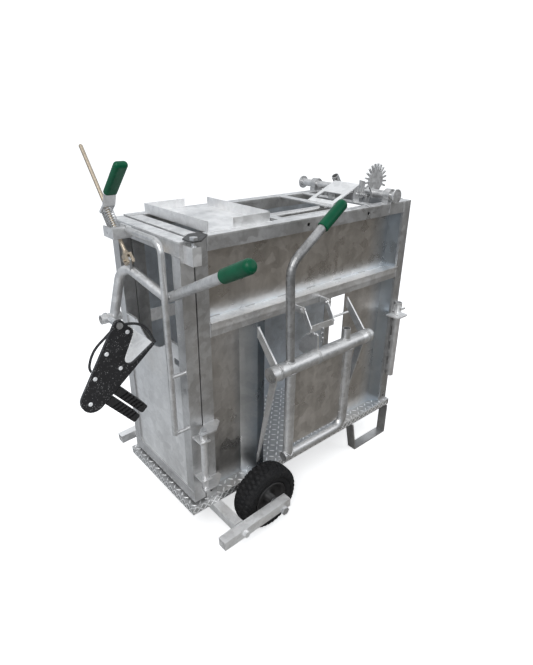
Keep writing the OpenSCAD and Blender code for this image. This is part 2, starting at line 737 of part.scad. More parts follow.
// Sleeve and two lugs that carry the gate on the lower pin, and the block on the upper pin
module gate_lugs() in_crate() color(galv) {
    z0 = low_plate_z + 6 + slip;
    z1 = high_plate_z - slip;
    hole = hinge_pin_d + 2 * run_fit;
    for (z = [z0 + 40, z1 - 34])
        lug_plate(hinge_x - 24, hinge_x + 19, hinge_y - 19, near_y, z, 6, hole);
    difference() {
        translate([hinge_x, hinge_y, z0]) cylinder(h = z1 - z0, d = hinge_sleeve_d);
        translate([hinge_x, hinge_y, z0 - 1]) cylinder(h = z1 - z0 + 2, d = hole);
    }
    difference() {
        translate([hinge_x - 16, hinge_y - 16, top_z - 75]) cube([32, near_y - hinge_y + 16, 60]);
        translate([hinge_x, hinge_y, top_z - 76]) cylinder(h = 62, d = hole);
    }
}

// Cheeks at the end of the guard loop that hold the trunnions of the lock guide
module lock_bracket() in_crate() color(galv) difference() {
    union() {
        for (x = [clevis_x - 34, clevis_x + 28]) translate([x, guide_y - 46, guide_z - 16]) cube([6, 76, 36]);
        translate([clevis_x - 28, guide_y - 46, guide_z - 16]) cube([56, 6, 36]);
        translate([clevis_x + 34, guide_y - 12, guide_z - 16]) cube([gate_front - clevis_x - 34, 42, 6]);
    }
    translate([clevis_x - 40, guide_y, guide_z]) rotate([0, 90, 0]) cylinder(h = 80, d = 10 + 2 * run_fit);
}

// Pivot bolt of the lift lever through the near gate post
module lift_pivot_bolt() in_crate() color("gray") {
    translate([lift_x - lever_d / 2 - 2, lift_y, lift_z]) rotate([0, 90, 0])
        cylinder(h = gate_front - lift_x + lever_d / 2 + 2 + frame_tube - 2, d = 16);
}

lift_path = [[lift_x, lift_y - lift_reach, lift_z + lift_rise], [lift_x, lift_y + 38, lift_z - 18],
    [leg_x, leg_y, knee_z], [foot_x, leg_y, foot_z]];

// Bent tube lever, drilled for its pivot bolt and saddled on the foot stub
module lift_lever() in_crate() color(galv) difference() {
    swept_tube(lift_path, 44, lever_d / 2, lever_wall);
    along([lift_x - 40, lift_y, lift_z], [1, 0, 0]) cylinder(h = 80, d = 16 + 2 * run_fit);
    translate([foot_x - 60, leg_y, foot_z]) rotate([0, 90, 0]) cylinder(h = 120, d = lever_d);
    translate([pin_x, leg_y - 31, pin_z]) rotate([-90, 0, 0]) cylinder(h = 62, d = scoop_pin_d + 2 * run_fit);
}

// Open stub of tube across the foot of the lever, drilled for the scoop pin
module foot_stub() in_crate() color(galv) difference() {
    translate([pin_x - 28, leg_y, foot_z]) rotate([0, 90, 0])
        cylinder(h = foot_x + 24 - pin_x + 28, d = lever_d);
    translate([pin_x - 29, leg_y, foot_z]) rotate([0, 90, 0])
        cylinder(h = foot_x + 24 - pin_x + 30, d = lever_d - 2 * lever_wall);
    translate([pin_x, leg_y - 31, pin_z]) rotate([-90, 0, 0]) cylinder(h = 62, d = scoop_pin_d + 2 * run_fit);
}

// Plate on the knee of the lever that takes the clevis pin
module clevis_lug() in_crate() color(galv) difference() {
    translate([clevis_x - 4, 0, 0]) rotate([90, 0, 90]) linear_extrude(8)
        polygon(concat([[clevis_y + 26, clevis_z - 30]], arc([clevis_y, clevis_z], 12, 10, 180, 10),
            [[clevis_y - 14, clevis_z - 44]]));
    swept_bar(lift_path, 44, lever_d / 2);
    translate([clevis_x - 5, clevis_y, clevis_z]) rotate([0, 90, 0]) cylinder(h = 10, d = 10 + 2 * run_fit);
}

// Dipped grip: a sleeve with a rounded closed end, over the end of a bar
module grip(l, r, inner) rotate_extrude() polygon(concat(
    [[inner, 0], [r - 2, 0], [r, 3], [r, l - 18]], arc([r - 18, l - 18], 18, 0, 90, 8),
    [[0, l], [0, l - 5], [inner, l - 5]]));

module lift_grip() in_crate() color(green) {
    d = unit(lift_path[0] - lift_path[1]);
    along(lift_path[0] - d * (grip_l - 5), d) grip(grip_l, grip_d / 2, lever_d / 2);
}

// Frame of the rod: Z up the rod from a distance s above the clevis pin
module on_rod(s) translate([clevis_x, clevis_y, clevis_z] + s * rod_dir) rotate([-rod_tilt, 0, 0]) children();

module lock_rod() in_crate() color("tan") {
    on_rod(34) cylinder(h = rod_l - 34 - rod_d / 2, d = rod_d);
    on_rod(rod_l - rod_d / 2) sphere(d = rod_d - 0.01);
}

// Fork, neck and pin at the foot of the lock rod
module rod_clevis() in_crate() color("goldenrod") {
    difference() {
        on_rod(-13) translate([-14, -13, 0]) cube([28, 26, 36]);
        on_rod(-14) translate([-4.5, -16, 0]) cube([9, 32, 30]);
        on_rod(0) translate([-20, 0, 0]) rotate([0, 90, 0]) cylinder(h = 40, d = 10);
    }
    on_rod(23) cylinder(h = 11, d1 = 24, d2 = 18);
    on_rod(0) translate([-20, 0, 0]) rotate([0, 90, 0]) cylinder(h = 40, d = 10);
}

guide_hole = rod_d / 2 + 7;

// Swivelling guide: a plate across the rod, its trunnions and the arm that the release lever bears on
module lock_guide() in_crate() color(galv) on_rod(guide_s) difference() {
    union() {
        translate([-24, -24, -5]) cube([48, 48, 10]);
        rotate([0, 90, 0]) translate([0, 0, -34]) cylinder(h = 68, d = 10);
        translate([-12, 24, -5]) cube([24, 6, spring_l + 24.3]);
        translate([-12, 14, spring_l + 13.3]) cube([24, 16, 6]);
    }
    translate([0, 0, -6]) cylinder(h = 12, r = guide_hole);
}

// Helix round the rod: straight ends, then turns with a steady rise
spring_r = spring_d / 2 - spring_wire / 2;
spring_rise = (spring_l - 2 * slip - spring_wire) / spring_turns;
spring_steps = spring_turns * 8;
spring_path = [for (i = [0:spring_steps]) [spring_r * cos(45 * i), spring_r * sin(45 * i),
    spring_rise * i / 8]];
spring_run = concat(
    [spring_path[0] - [0, spring_wire, 0]], spring_path,
    [spring_path[spring_steps] + spring_wire * [-sin(45 * spring_steps), cos(45 * spring_steps), 0]]);
spring_refs = [for (p = spring_run) [p.x, p.y, 0]];
spring_gap = min([for (i = [0:spring_steps])
    for (j = [i + 5:1:spring_steps]) norm(spring_path[i] - spring_path[j])]) - spring_wire;
echo(spring_gap = spring_gap);

module lock_spring() in_crate() color("darkkhaki")
    on_rod(guide_s) translate([0, 0, 5 + slip + spring_wire / 2])
        sweep(spring_run, spring_refs, spring_wire / 2, 6);

// Flat release lever with the hole that grips the rod, cranked and run out to its handle
release_z = 5 + spring_l;
handle_low = [-69, release_z + 24];
handle_end = [-212, release_z + 33];
module release_lever() in_crate() color(galv) on_rod(guide_s) {
    difference() {
        translate([-22, -24, release_z]) cube([44, 44, 8]);
        translate([0, 0, release_z - 1]) cylinder(h = 10, r = guide_hole);
    }
    translate([-22, 0, 0]) rotate([90, 0, 90]) linear_extrude(44) polygon([
        [-24, release_z], handle_low + [2, -2.5], handle_end + [0, -2.5], handle_end + [0, 2.5],
        handle_low + [-2, 2.5], [-24, release_z + 8]]);
}

// Dipped grip over the handle, flat oval in section with a rounded end
module release_grip() in_crate() color(green) on_rod(guide_s) {
    l = norm(handle_end - handle_low);
    lift = atan2(handle_end[1] - handle_low[1], handle_low[0] - handle_end[0]);
    translate([0, handle_low[0], handle_low[1]]) rotate([90 - lift, 0, 0]) difference() {
        union() {
            hull() for (x = [-11, 11]) translate([x, 0, 2]) {
                cylinder(h = l - 8, r = 13, $fn = 24);
                translate([0, 0, l - 8]) sphere(r = 13, $fn = 24);
            }
        }
        translate([-22 - slip / 2, -2.5 - slip / 2, -1]) cube([44 + slip, 5 + slip, l + 1 + slip]);
    }
}

// Frame of the scoop: X up the scoop floor, Z square to it, Y across the crate
module in_scoop() in_crate() translate([scoop_x, 0, scoop_z]) rotate([0, -scoop_slope, 0]) children();

// Side outline carried along Y
module side_slab(y, t) translate([0, y + t, 0]) rotate([90, 0, 0]) linear_extrude(t) children();

scoop_lobe = [scoop_pin_s - 2, scoop_pin_t - 44];
scoop_notch = [scoop_l - 92, 42];
cheek_line = concat(
    arc([42, 45], 45, 270, 111, 10), arc([scoop_pin_s, scoop_pin_t], 20, 111, 20, 5),
    arc(scoop_lobe, 22, 20, -60, 5),
    arc(scoop_notch, 23, 111, 270, 9), [[scoop_l, 7], [scoop_l, 0]]);
near_side_line = concat(
    arc([42, 45], 45, 270, 111, 8), arc([scoop_pin_s, scoop_pin_t], 18, 111, 20, 5),
    arc(scoop_lobe, 20, 20, -60, 5),
    arc(scoop_notch, 25, 111, 270, 9), [[scoop_l, 5], [scoop_l, 0]]);
far_side_x = 96;
pin_hole = [scoop_pin_s, scoop_pin_t];
cheek_holes = [[scoop_pin_s + 1, scoop_pin_t - 41], [196, 128], [186, 47], [106, 99], [27, 47]];
cheek_bolt_d = 8;

// Folded steel channel: a floor cut back towards the far corner, a tall near side and a low far side
module scoop_tray() in_scoop() color(galv) difference() {
    union() {
        translate([0, 0, -sheet_t]) linear_extrude(sheet_t) polygon([
            [30, scoop_near], [scoop_l, scoop_near], [scoop_l, scoop_near + scoop_w],
            [far_side_x, scoop_near + scoop_w]]);
        side_slab(scoop_near, sheet_t) polygon(near_side_line);
        side_slab(scoop_near + scoop_w - sheet_t, sheet_t) polygon([
            [far_side_x, -sheet_t], [scoop_l, -sheet_t], [scoop_l, scoop_side_h],
            [scoop_l - 30, scoop_side_h], [far_side_x, 0]]);
    }
    scoop_holes(scoop_near - 1, sheet_t + 2);
}

// Clearance holes of the pivot pin and the cheek bolts
module scoop_holes(y, l) {
    for (h = cheek_holes) translate([h.x, y, h.y]) rotate([-90, 0, 0])
        cylinder(h = l, d = cheek_bolt_d + 2 * bolt_gap);
    translate([pin_hole.x, y, pin_hole.y]) rotate([-90, 0, 0])
        cylinder(h = l, d = scoop_pin_d + 2 * bolt_gap);
}

// Plastic cheek with a deep notch for the horn bud
module near_cheek() in_scoop() color(black) difference() {
    side_slab(scoop_near - cheek_t, cheek_t) polygon(cheek_line);
    scoop_holes(scoop_near - cheek_t - 1, cheek_t + 2);
}

// Domed bolts with nuts through the cheek and the steel side
module cheek_bolts() in_scoop() color("white") for (h = cheek_holes)
    translate([h.x, scoop_near - cheek_t, h.y]) rotate([-90, 0, 0]) {
        cylinder(h = cheek_t + sheet_t + 7, d = cheek_bolt_d);
        translate([0, 0, -3]) cylinder(h = 3, d1 = 12, d2 = 16);
        translate([0, 0, cheek_t + sheet_t]) hexagon(13, 6);
    }

// Pivot pin from the near cheek through the stub of the lever, with a spacer and an end collar
module scoop_pin() in_scoop() color("gray") {
    y0 = scoop_near - cheek_t - 4;
    stub_gap = lever_d / 2 + 1;
    translate([pin_hole.x, y0, pin_hole.y]) rotate([-90, 0, 0]) {
        cylinder(h = leg_y - y0 + stub_gap + 14, d = scoop_pin_d);
        cylinder(h = 4, d = scoop_pin_d + 8);
        translate([0, 0, 4 + cheek_t + sheet_t])
            cylinder(h = leg_y - stub_gap - scoop_near - sheet_t, d = scoop_pin_d + 8);
        translate([0, 0, leg_y - y0 + stub_gap]) cylinder(h = 10, d = scoop_pin_d + 8);
    }
}

// Nose rope from the near rear corner of the scoop, over the nose, to the far front corner
rope_route = [
    [334.5, 8, -12], [341, 16, 4], [350, 24, 26], [353, 31, 43], [352, 38, 61], [343, 46, 80], [327, 55, 97],
    [305, 65, 111], [279, 75, 117], [257, 83, 115], [233, 91, 111], [203, 102, 106], [175, 112, 97],
    [150, 121, 83],
    [132, 128, 69], [115, 134, 52], [106, 139, 30], [106, 140, 0],
];
rope_path = [for (p = rope_route) [p.x, scoop_near + p.y, p.z + slip]];
module nose_rope() in_scoop() color(black)
    sweep(rope_path, [for (p = rope_path) [0.6, -0.8, 0.05]], rope_d / 2, 10);

// Ribbed jam cleats bolted square under the scoop floor
module jam_cleats() in_scoop() color(black) for (x = [54, 54 + cleat_w + 10])
    translate([x, scoop_near - cheek_t + 2, -sheet_t - slip]) difference() {
        rotate([-90, 0, 0]) linear_extrude(46) polygon(concat(
            [[0, 0], [cleat_w, 0]], arc([cleat_w - 9, cleat_l - 9], 9, 0, 90, 4),
            arc([9, cleat_l - 9], 9, 90, 180, 4)));
        for (k = [0:5]) translate([-1, -1, -36 - k * 18]) rotate([0, 20, 0]) cube([cleat_w + 4, 7, 8]);
    }

spare_x = squeeze_end - 90;
spare_h = 44;

// Turning tube on the fixed shaft with the short spare lever socket
module squeeze_tube() in_crate() color(galv) difference() {
    union() {
        translate([squeeze_front, squeeze_y, squeeze_z]) rotate([0, 90, 0])
            cylinder(h = squeeze_l, d = squeeze_d);
        translate([spare_x, squeeze_y, squeeze_z]) cylinder(h = squeeze_d / 2 + spare_h, d = lever_d);
    }
    translate([squeeze_front - 1, squeeze_y, squeeze_z]) rotate([0, 90, 0])
        cylinder(h = squeeze_l + 2, d = squeeze_shaft_d + 2 * run_fit);
    translate([spare_x, squeeze_y, squeeze_z + squeeze_d / 2 - 2])
        cylinder(h = spare_h + 3, d = lever_d - 2 * lever_wall);
}

lever_x = squeeze_front + lever_d / 2 + 3;
lever_lean = 2.5;
lever_bend = squeeze_lever_h * 0.68;
squeeze_path = [[0, 0, 0], [0, 0, lever_bend], [270, 0, squeeze_lever_h]];

// Frame of the squeeze lever: its foot on the squeeze axis, leaned over the crate
module on_lever() in_crate() translate([lever_x, squeeze_y, squeeze_z])
    rotate([-lever_lean, 0, 0]) children();

module squeeze_lever() on_lever() color(galv) difference() {
    swept_tube(squeeze_path, 90, lever_d / 2, lever_wall);
    translate([-30, 0, 0]) rotate([0, 90, 0]) cylinder(h = 60, d = squeeze_d);
}

module squeeze_grip() on_lever() color(green) {
    d = unit(squeeze_path[2] - squeeze_path[1]);
    along(squeeze_path[2] - d * (grip_l - 5), d) grip(grip_l, grip_d / 2, lever_d / 2);
}

pusher_x0 = squeeze_front + pusher_d / 2 + 2;
pusher_x1 = squeeze_end - 72;
pusher_z = squeeze_z - pusher_h;
stub_end = open_front + 9;

// U-shaped pusher of bent tube with a foot bar that runs on to a front stub
module pusher_loop() in_crate() color(galv) difference() {
    union() {
        difference() {
            bent_bar([[pusher_x1, squeeze_y, squeeze_z], [pusher_x1, squeeze_y, pusher_z],
                [stub_end, squeeze_y, pusher_z]], 60, pusher_d / 2);
            bent_bar([[pusher_x1, squeeze_y, squeeze_z], [pusher_x1, squeeze_y, pusher_z],
                [stub_end, squeeze_y, pusher_z]], 60, pusher_d / 2 - lever_wall, 1);
        }
        rod([pusher_x0, squeeze_y, squeeze_z], [pusher_x0, squeeze_y, pusher_z], pusher_d / 2);
    }
    translate([squeeze_front - 30, squeeze_y, squeeze_z]) rotate([0, 90, 0])
        cylinder(h = squeeze_l + 60, d = squeeze_d);
}

// Flat sheet welded between the legs of the pusher
module pusher_sheet() in_crate() color(dull) difference() {
    translate([pusher_x0, squeeze_y + 4, pusher_z + 38])
        cube([pusher_x1 - pusher_x0, sheet_t, pusher_h - 38]);
    for (x = [pusher_x0, pusher_x1]) rod([x, squeeze_y, squeeze_z], [x, squeeze_y, pusher_z], pusher_d / 2);
    translate([squeeze_front - 30, squeeze_y, squeeze_z]) rotate([0, 90, 0])
        cylinder(h = squeeze_l + 60, d = squeeze_d);
    translate([pusher_x1 - 60, squeeze_y + 30, pusher_z + 60]) rotate([90, 0, 0]) difference() {
        translate([0, -80, 0]) cube([90, 80, 60]);
        cylinder(h = 60, r = 60 - pusher_d / 2 - 4);
    }
}

// Saw teeth over an arc: each tooth climbs slowly and drops steeply
function saw(r, depth, a0, a1, n) = [
    for (i = [0:n - 1]) for (q = [[0, -depth], [0.75, 0]])
        (r + q[1]) * [cos(a0 + (a1 - a0) * (i + q[0]) / n), sin(a0 + (a1 - a0) * (i + q[0]) / n)]
];

ratchet_x = pawl_x0 + 13;

// Toothed sector welded on the squeeze tube, its teeth towards the crate
module squeeze_ratchet() in_crate() color(galv) translate([ratchet_x, squeeze_y, squeeze_z]) difference() {
    rotate([90, 0, 90]) linear_extrude(ratchet_t)
        polygon(concat(saw(ratchet_r, 8, 92, -4, 12),
            [[squeeze_d / 2 + 4, -squeeze_d / 3], [0, -squeeze_d / 3], [-squeeze_d / 6, squeeze_d / 3]]));
    translate([-1, 0, 0]) rotate([0, 90, 0]) cylinder(h = ratchet_t + 2, d = squeeze_d);
}

bar_y = squeeze_y + 28;
pawl_drop = squeeze_z + sqrt(ratchet_r * ratchet_r - 28 * 28) + 1.5;
pawl_bar_h = 27;

// Stirrup of flat bar that drops on the ratchet, with the release rod on its rear arm
module squeeze_pawl() in_crate() color(galv) {
    arm = [0, bar_y - pawl_y, pawl_drop + pawl_bar_h / 2 - pawl_z];
    boss = [pawl_x1 - 1, pawl_y, pawl_z] + arm - 17 * unit(arm);
    for (x = [pawl_x0, pawl_x1 - 6]) difference() {
        union() {
            translate([x, pawl_y, pawl_z]) rotate([0, 90, 0]) cylinder(h = 6, d = 25);
            translate([x, pawl_y, pawl_z]) rotate([atan2(-arm.z, -arm.y), 0, 0])
                translate([0.5, -norm(arm), -11]) cube([5, norm(arm) - 2, 22]);
        }
        translate([x - 1, pawl_y, pawl_z]) rotate([0, 90, 0])
            cylinder(h = 8, d = 12 - 2 * bolt_gap + 2 * run_fit);
    }
    translate([pawl_x0 + 1, bar_y - 3, pawl_drop]) cube([pawl_x1 - pawl_x0 - 2, 6, pawl_bar_h]);
    translate(boss) rotate([0, 90, 0]) cylinder(h = 98, d = 10);
}

link_d = 4;
link_r = 6;
link_l = 13;

// One chain link round the origin, long way down
module link() {
    for (s = [-1, 1]) {
        translate([s * link_r, 0, -link_l / 2]) cylinder(h = link_l, d = link_d, $fn = 24);
        translate([0, 0, s * link_l / 2]) rotate([90, s > 0 ? 0 : 180, 0])
            rotate_extrude(angle = 180, $fn = 24) translate([link_r, 0]) circle(d = link_d, $fn = 24);
    }
}

// Keeper chain hung from the crossbar of the pawl
module pawl_chain() in_crate() color("gray") {
    pitch = link_l + 2 * link_r - link_d - 0.6;
    translate([pawl_x0 + 64, bar_y - 3 - link_r - link_d / 2 - 0.3, pawl_drop + 3]) {
        for (k = [0:2]) translate([0, 0, -link_l / 2 - link_r + link_d / 2 + 4 - k * pitch])
            rotate([0, 0, k % 2 == 0 ? 90 : 0]) link();
    }
}

// Transverse shaft with ring handles at both ends and the lever socket on it
module rump_shaft() in_crate() color(galv) {
    y0 = near_y - 14;
    y1 = far_y + 66;
    difference() {
        union() {
            translate([rump_x, y0, rump_z]) rotate([-90, 0, 0]) cylinder(h = y1 - y0, d = rump_shaft_d);
            translate([rump_x, mid_y + 66, rump_z]) rotate([0, -35, 0]) cylinder(h = 70, d = lever_d);
            for (y = [y0 - 7, y1]) translate([rump_x, y, rump_z]) rotate([-90, 0, 0])
                cylinder(h = 7, d = rump_shaft_d + 26);
        }
        translate([rump_x, mid_y + 66, rump_z]) rotate([0, -35, 0]) translate([0, 0, rump_shaft_d / 2])
            cylinder(h = 60, d = lever_d - 2 * lever_wall);
        for (y = [y0 - 8, y1 - 1]) for (a = [0:60:300]) translate([rump_x, y, rump_z]) rotate([-90, a, 0])
            translate([rump_shaft_d / 2 + 6, 0, 0]) cylinder(h = 9, d = 6);
    }
}

// Round toothed head on a tapered neck, welded square on the rump shaft
module rump_fan() in_crate() color(dull) translate([rump_x, fan_y, rump_z]) rotate([90, 0, 0]) difference() {
    linear_extrude(ratchet_t) {
        teeth = [
            for (i = [0:fan_teeth - 1]) each let (a = 200 - 220 * i / (fan_teeth - 1)) [
                [0, fan_mid - rump_z] + (fan_r - 26) * [cos(a + 5), sin(a + 5)], [0, fan_mid - rump_z]
                + fan_r * [cos(a + 3), sin(a + 3)],
                [0, fan_mid - rump_z] + fan_r * [cos(a - 2), sin(a - 2)], [0, fan_mid - rump_z]
                + (fan_r - 26) * [cos(a - 4), sin(a - 4)]]
        ];
        polygon(concat(teeth, [[24, 8], [24, -18], [-24, -18], [-24, 8]]));
    }
    translate([0, 0, -1]) cylinder(h = ratchet_t + 2, d = rump_shaft_d);
}

hoop_y0 = fan_y + 40;
hoop_y1 = far_y - frame_tube - 50;

// Hoop that hangs behind the animal from the rump shaft
module rump_hoop() in_crate() color(galv) difference() {
    bent_tube([[rump_x, hoop_y0, rump_z], [rump_x, hoop_y0, rump_z - rump_drop],
        [rump_x, hoop_y1, rump_z - rump_drop], [rump_x, hoop_y1, rump_z]], 60, lever_d / 2, lever_wall);
    translate([rump_x, near_y, rump_z]) rotate([-90, 0, 0]) cylinder(h = floor_w, d = rump_shaft_d);
}

// Sloping plate with a window in front of the rump bar, on two short legs, with the pawl bearings
module rump_cover() in_crate() color(galv) {
    l = norm([cover_x1 - cover_x0, cover_rise]);
    slope = atan2(cover_rise, cover_x1 - cover_x0);
    translate([cover_x0, cover_y0, top_z]) rotate([0, -slope, 0]) difference() {
        cube([l, cover_w, 5]);
        translate([26, 22, -1]) cube([62, cover_w - 44, 7]);
    }
    for (y = [cover_y0, cover_y0 + cover_w - 6]) difference() {
        translate([0, y + 6, top_z]) rotate([90, 0, 0]) linear_extrude(6)
            polygon([[cover_x1 - cross_bar_w, 0], [cover_x1, 0], [cover_x1, cover_rise],
                [cover_x1 - cross_bar_w, cover_rise - cross_bar_w * tan(slope)]]);
        translate([pawl_pin_x, y - 1, pawl_pin_z]) rotate([-90, 0, 0]) cylinder(h = 8, d = 14 + 2 * run_fit);
    }
}

// Pawl on its cross pin, its nose just clear of the fan teeth, with a looped thumb bar
module rump_pawl() in_crate() color(galv) {
    translate([pawl_pin_x, fan_y - 30, pawl_pin_z]) rotate([-90, 0, 0])
        cylinder(h = cover_y0 + cover_w + 16 - fan_y + 30, d = 14);
    translate([0, fan_y, 0]) rotate([90, 0, 0]) difference() {
        linear_extrude(ratchet_t) polygon(concat(
            arc([pawl_pin_x, pawl_pin_z], 15, 180, 330, 8),
            [[nose_x, fan_mid - 4], [nose_x, fan_mid + 4], [pawl_pin_x - 15, fan_mid + 12]]));
        translate([pawl_pin_x, pawl_pin_z, -1]) cylinder(h = ratchet_t + 2, d = 14);
    }
    difference() {
        bent_bar([[pawl_pin_x, cover_y0 + 28, pawl_pin_z], [pawl_pin_x - 50, cover_y0 + 28, pawl_pin_z],
            [pawl_pin_x - 50, cover_y0 + cover_w - 28, pawl_pin_z],
            [pawl_pin_x, cover_y0 + cover_w - 28, pawl_pin_z]], 14, 5);
        translate([pawl_pin_x, cover_y0, pawl_pin_z]) rotate([-90, 0, 0]) cylinder(h = cover_w, d = 14);
    }
}

// Pneumatic tyre on a pressed rim with its hub
module wheel() {
    hub_l = tyre_w + 2 * hub_proud;
    w = tyre_w / 2;
    r = tyre_d / 2;
    rr = rim_d / 2;
    color(black) rotate_extrude() difference() {
        polygon(concat([[rr - 6, -w + 14], [rr + 14, -w + 2]], arc([r - 26, -w + 26], 26, 270, 330, 5),
            [[r, -w + 34], [r, w - 34]],
            arc([r - 26, w - 26], 26, 30, 90, 5), [[rr + 14, w - 2], [rr - 6, w - 14]]));
    }
    color("dimgray") difference() {
        rotate_extrude() polygon([
            [axle_d / 2 + run_fit, -hub_l / 2], [22, -hub_l / 2], [22, -8], [rr - 22, -8],
            [rr - 12, -w + 16], [rr - 6, -w + 14],
            [rr - 6, w - 14], [rr - 12, w - 16], [rr - 22, 0], [22, 0], [22, hub_l / 2],
            [axle_d / 2 + run_fit, hub_l / 2]]);
        for (a = [0:90:270]) rotate([0, 0, a]) translate([rr - 30, 0, -20]) cylinder(h = 30, d = 10);
    }
}

module near_wheel() in_crate() translate([wheel_x, wheel_y, wheel_z]) rotate([-90, 0, 0]) wheel();
module far_wheel() in_crate() translate([wheel_x, floor_w - wheel_y, wheel_z]) rotate([90, 0, 0]) wheel();

floor_pan();
near_frame();
far_frame();
top_bars();
near_upper_sheet();
near_front_sheet();
near_rear_sheet();
far_upper_sheet();
far_lower_sheet();
tool_tray();
slide_bars();
gussets();
squeeze_shaft();
cross_tube();
wheel_arms();
axle_bolts();
rear_skids();
gate_brackets();
gate_pins();
race_sockets();
pawl_lugs();
rump_clamps();
rump_cover();
gate_frame();
neck_panel();
guard_loop();
gate_lugs();
lock_bracket();
lift_pivot_bolt();
lift_lever();
foot_stub();
clevis_lug();
lift_grip();
lock_rod();
rod_clevis();
lock_guide();
lock_spring();
release_lever();
release_grip();
scoop_tray();
near_cheek();
cheek_bolts();
scoop_pin();
nose_rope();
jam_cleats();
squeeze_tube();
squeeze_lever();
squeeze_grip();
pusher_loop();
pusher_sheet();
squeeze_ratchet();
squeeze_pawl();
pawl_chain();
rump_shaft();
rump_fan();
rump_hoop();
rump_pawl();
near_wheel();
far_wheel();
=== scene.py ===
"""Dehorning crate at rest: the finish of every CAD node, the small pieces on them, light and camera.

The frame is in metres. Places on the crate are written in the source's millimetres, X from the floor's front
edge and Y from its near edge, and crate() turns them to the frame. Each added piece rides on the CAD body that
carries it.
"""
import bpy
import numpy as np
from mathutils import Matrix, Vector


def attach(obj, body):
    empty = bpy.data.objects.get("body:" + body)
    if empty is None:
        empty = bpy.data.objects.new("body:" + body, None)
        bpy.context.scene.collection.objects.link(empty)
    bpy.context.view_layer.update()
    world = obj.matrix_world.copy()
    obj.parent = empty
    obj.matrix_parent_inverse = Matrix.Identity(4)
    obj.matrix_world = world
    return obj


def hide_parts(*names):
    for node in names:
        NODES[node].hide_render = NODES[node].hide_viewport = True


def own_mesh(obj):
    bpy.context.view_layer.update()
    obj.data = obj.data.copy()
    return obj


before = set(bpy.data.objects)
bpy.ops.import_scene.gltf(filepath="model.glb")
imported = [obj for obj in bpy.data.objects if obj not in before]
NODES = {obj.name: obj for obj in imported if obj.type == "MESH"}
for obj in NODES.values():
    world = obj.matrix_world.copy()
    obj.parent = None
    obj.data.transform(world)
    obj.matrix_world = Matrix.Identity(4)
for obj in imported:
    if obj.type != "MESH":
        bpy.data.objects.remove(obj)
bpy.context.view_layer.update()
rng = np.random.default_rng(7)


# Shader expressions
class Sock:
    """An output socket that Python operators turn into Math nodes."""

    def __init__(self, tree, out):
        self.tree, self.out = tree, out

    def math(self, operation, other, swap=False):
        a, b = (other, self) if swap else (self, other)
        return self.tree.node("ShaderNodeMath", {0: a, 1: b}, operation=operation)

    def __add__(self, o): return self.math("ADD", o)
    def __radd__(self, o): return self.math("ADD", o, swap=True)
    def __sub__(self, o): return self.math("SUBTRACT", o)
    def __rsub__(self, o): return self.math("SUBTRACT", o, swap=True)
    def __mul__(self, o): return self.math("MULTIPLY", o)
    def __rmul__(self, o): return self.math("MULTIPLY", o, swap=True)
    def __truediv__(self, o): return self.math("DIVIDE", o)
    def __rtruediv__(self, o): return self.math("DIVIDE", o, swap=True)

    def clamp(self):
        return self.math("MAXIMUM", 0.0).math("MINIMUM", 1.0)

    def ramp(self, low, high):
        """0 up to low and 1 from high on, straight between; low may be the greater."""
        return ((self - low) / (high - low)).clamp()


class Tree:
    """The nodes of a material or of the world, with one method that makes a node of any kind."""

    def __init__(self, owner, coordinates="Object"):
        owner.use_nodes = True
        self.owner, self.nodes, self.links = owner, owner.node_tree.nodes, owner.node_tree.links
        self.shader = next(n for n in self.nodes if n.type in ("BSDF_PRINCIPLED", "BACKGROUND"))
        self.xyz = self.node("ShaderNodeTexCoord", {}, out=coordinates)

    def put(self, socket, value):
        if isinstance(value, Sock):
            self.links.new(value.out, socket)
        elif isinstance(value, tuple) and socket.type == "RGBA":
            socket.default_value = (*value, 1.0)
        else:
            socket.default_value = value

    def node(self, kind, ins, out=0, **settings):
        made = self.nodes.new(kind)
        for key, value in settings.items():
            setattr(made, key, value)
        for key, value in ins.items():
            self.put(made.inputs[key], value)
        return Sock(self, made.outputs[out])

    def vector(self, operation, a, b):
        return self.node("ShaderNodeVectorMath", {0: a, 1: b}, operation=operation)

    def scaled(self, vector, factor):
        return self.node("ShaderNodeVectorMath", {0: vector, "Scale": factor}, operation="SCALE")

    def noise(self, scale, detail=3.0, rough=0.55, at=None, out=0):
        ins = {"Vector": at or self.xyz, "Scale": scale, "Detail": detail, "Roughness": rough}
        return self.node("ShaderNodeTexNoise", ins, out=out)

    def noise_from(self, origin, scale, detail, rough):
        """Noise read from another origin, so that it doesn't follow the other layers."""
        return self.noise(scale, detail, rough, at=self.vector("ADD", self.xyz, origin))

    def cells(self, scale, at=None, out="Distance"):
        return self.node("ShaderNodeTexVoronoi", {"Vector": at or self.xyz, "Scale": scale}, out=out)

    def axis(self, k, of=None):
        return self.node("ShaderNodeSeparateXYZ", {0: of or self.xyz}, out=k)

    def mix(self, share, a, b):
        return self.node("ShaderNodeMix", {0: share, 6: a, 7: b}, out=2, data_type="RGBA")

    def bump(self, height, distance, strength):
        return self.node("ShaderNodeBump", {"Height": height, "Distance": distance, "Strength": strength})

    def surface(self, **ins):
        for key, value in ins.items():
            self.put(self.shader.inputs[key.replace("_", " ")], value)
        return self.owner


def material(name):
    return Tree(bpy.data.materials.new(name))


def shades(colour, *factors):
    """The colour times each factor, no channel past 1."""
    return [tuple(min(1.0, k * c) for c in colour) for k in factors]


# Finishes
METAL = 0.85                        # how metallic a zinc coat is
DIP_GREEN = (0.0, 0.085, 0.038)
RUST_TINT = (0.86, 0.80, 0.72)      # old water marks, times the coat's tone
WHITE_BLOOM = (0.80, 0.81, 0.82)
SHEEN_BLUE = (0.74, 0.79, 0.84)
BAND_EDGE = 0.004                   # metres over which a band fades in on each side of its mark
SHARP_EDGE = 0.002                  # metres over which a band ends along X, a painted sheen at its foot and a dip at its rim
SHEEN_RISE = 0.075                 # metres that a painted sheen, paler and bluer, reaches up the sheet
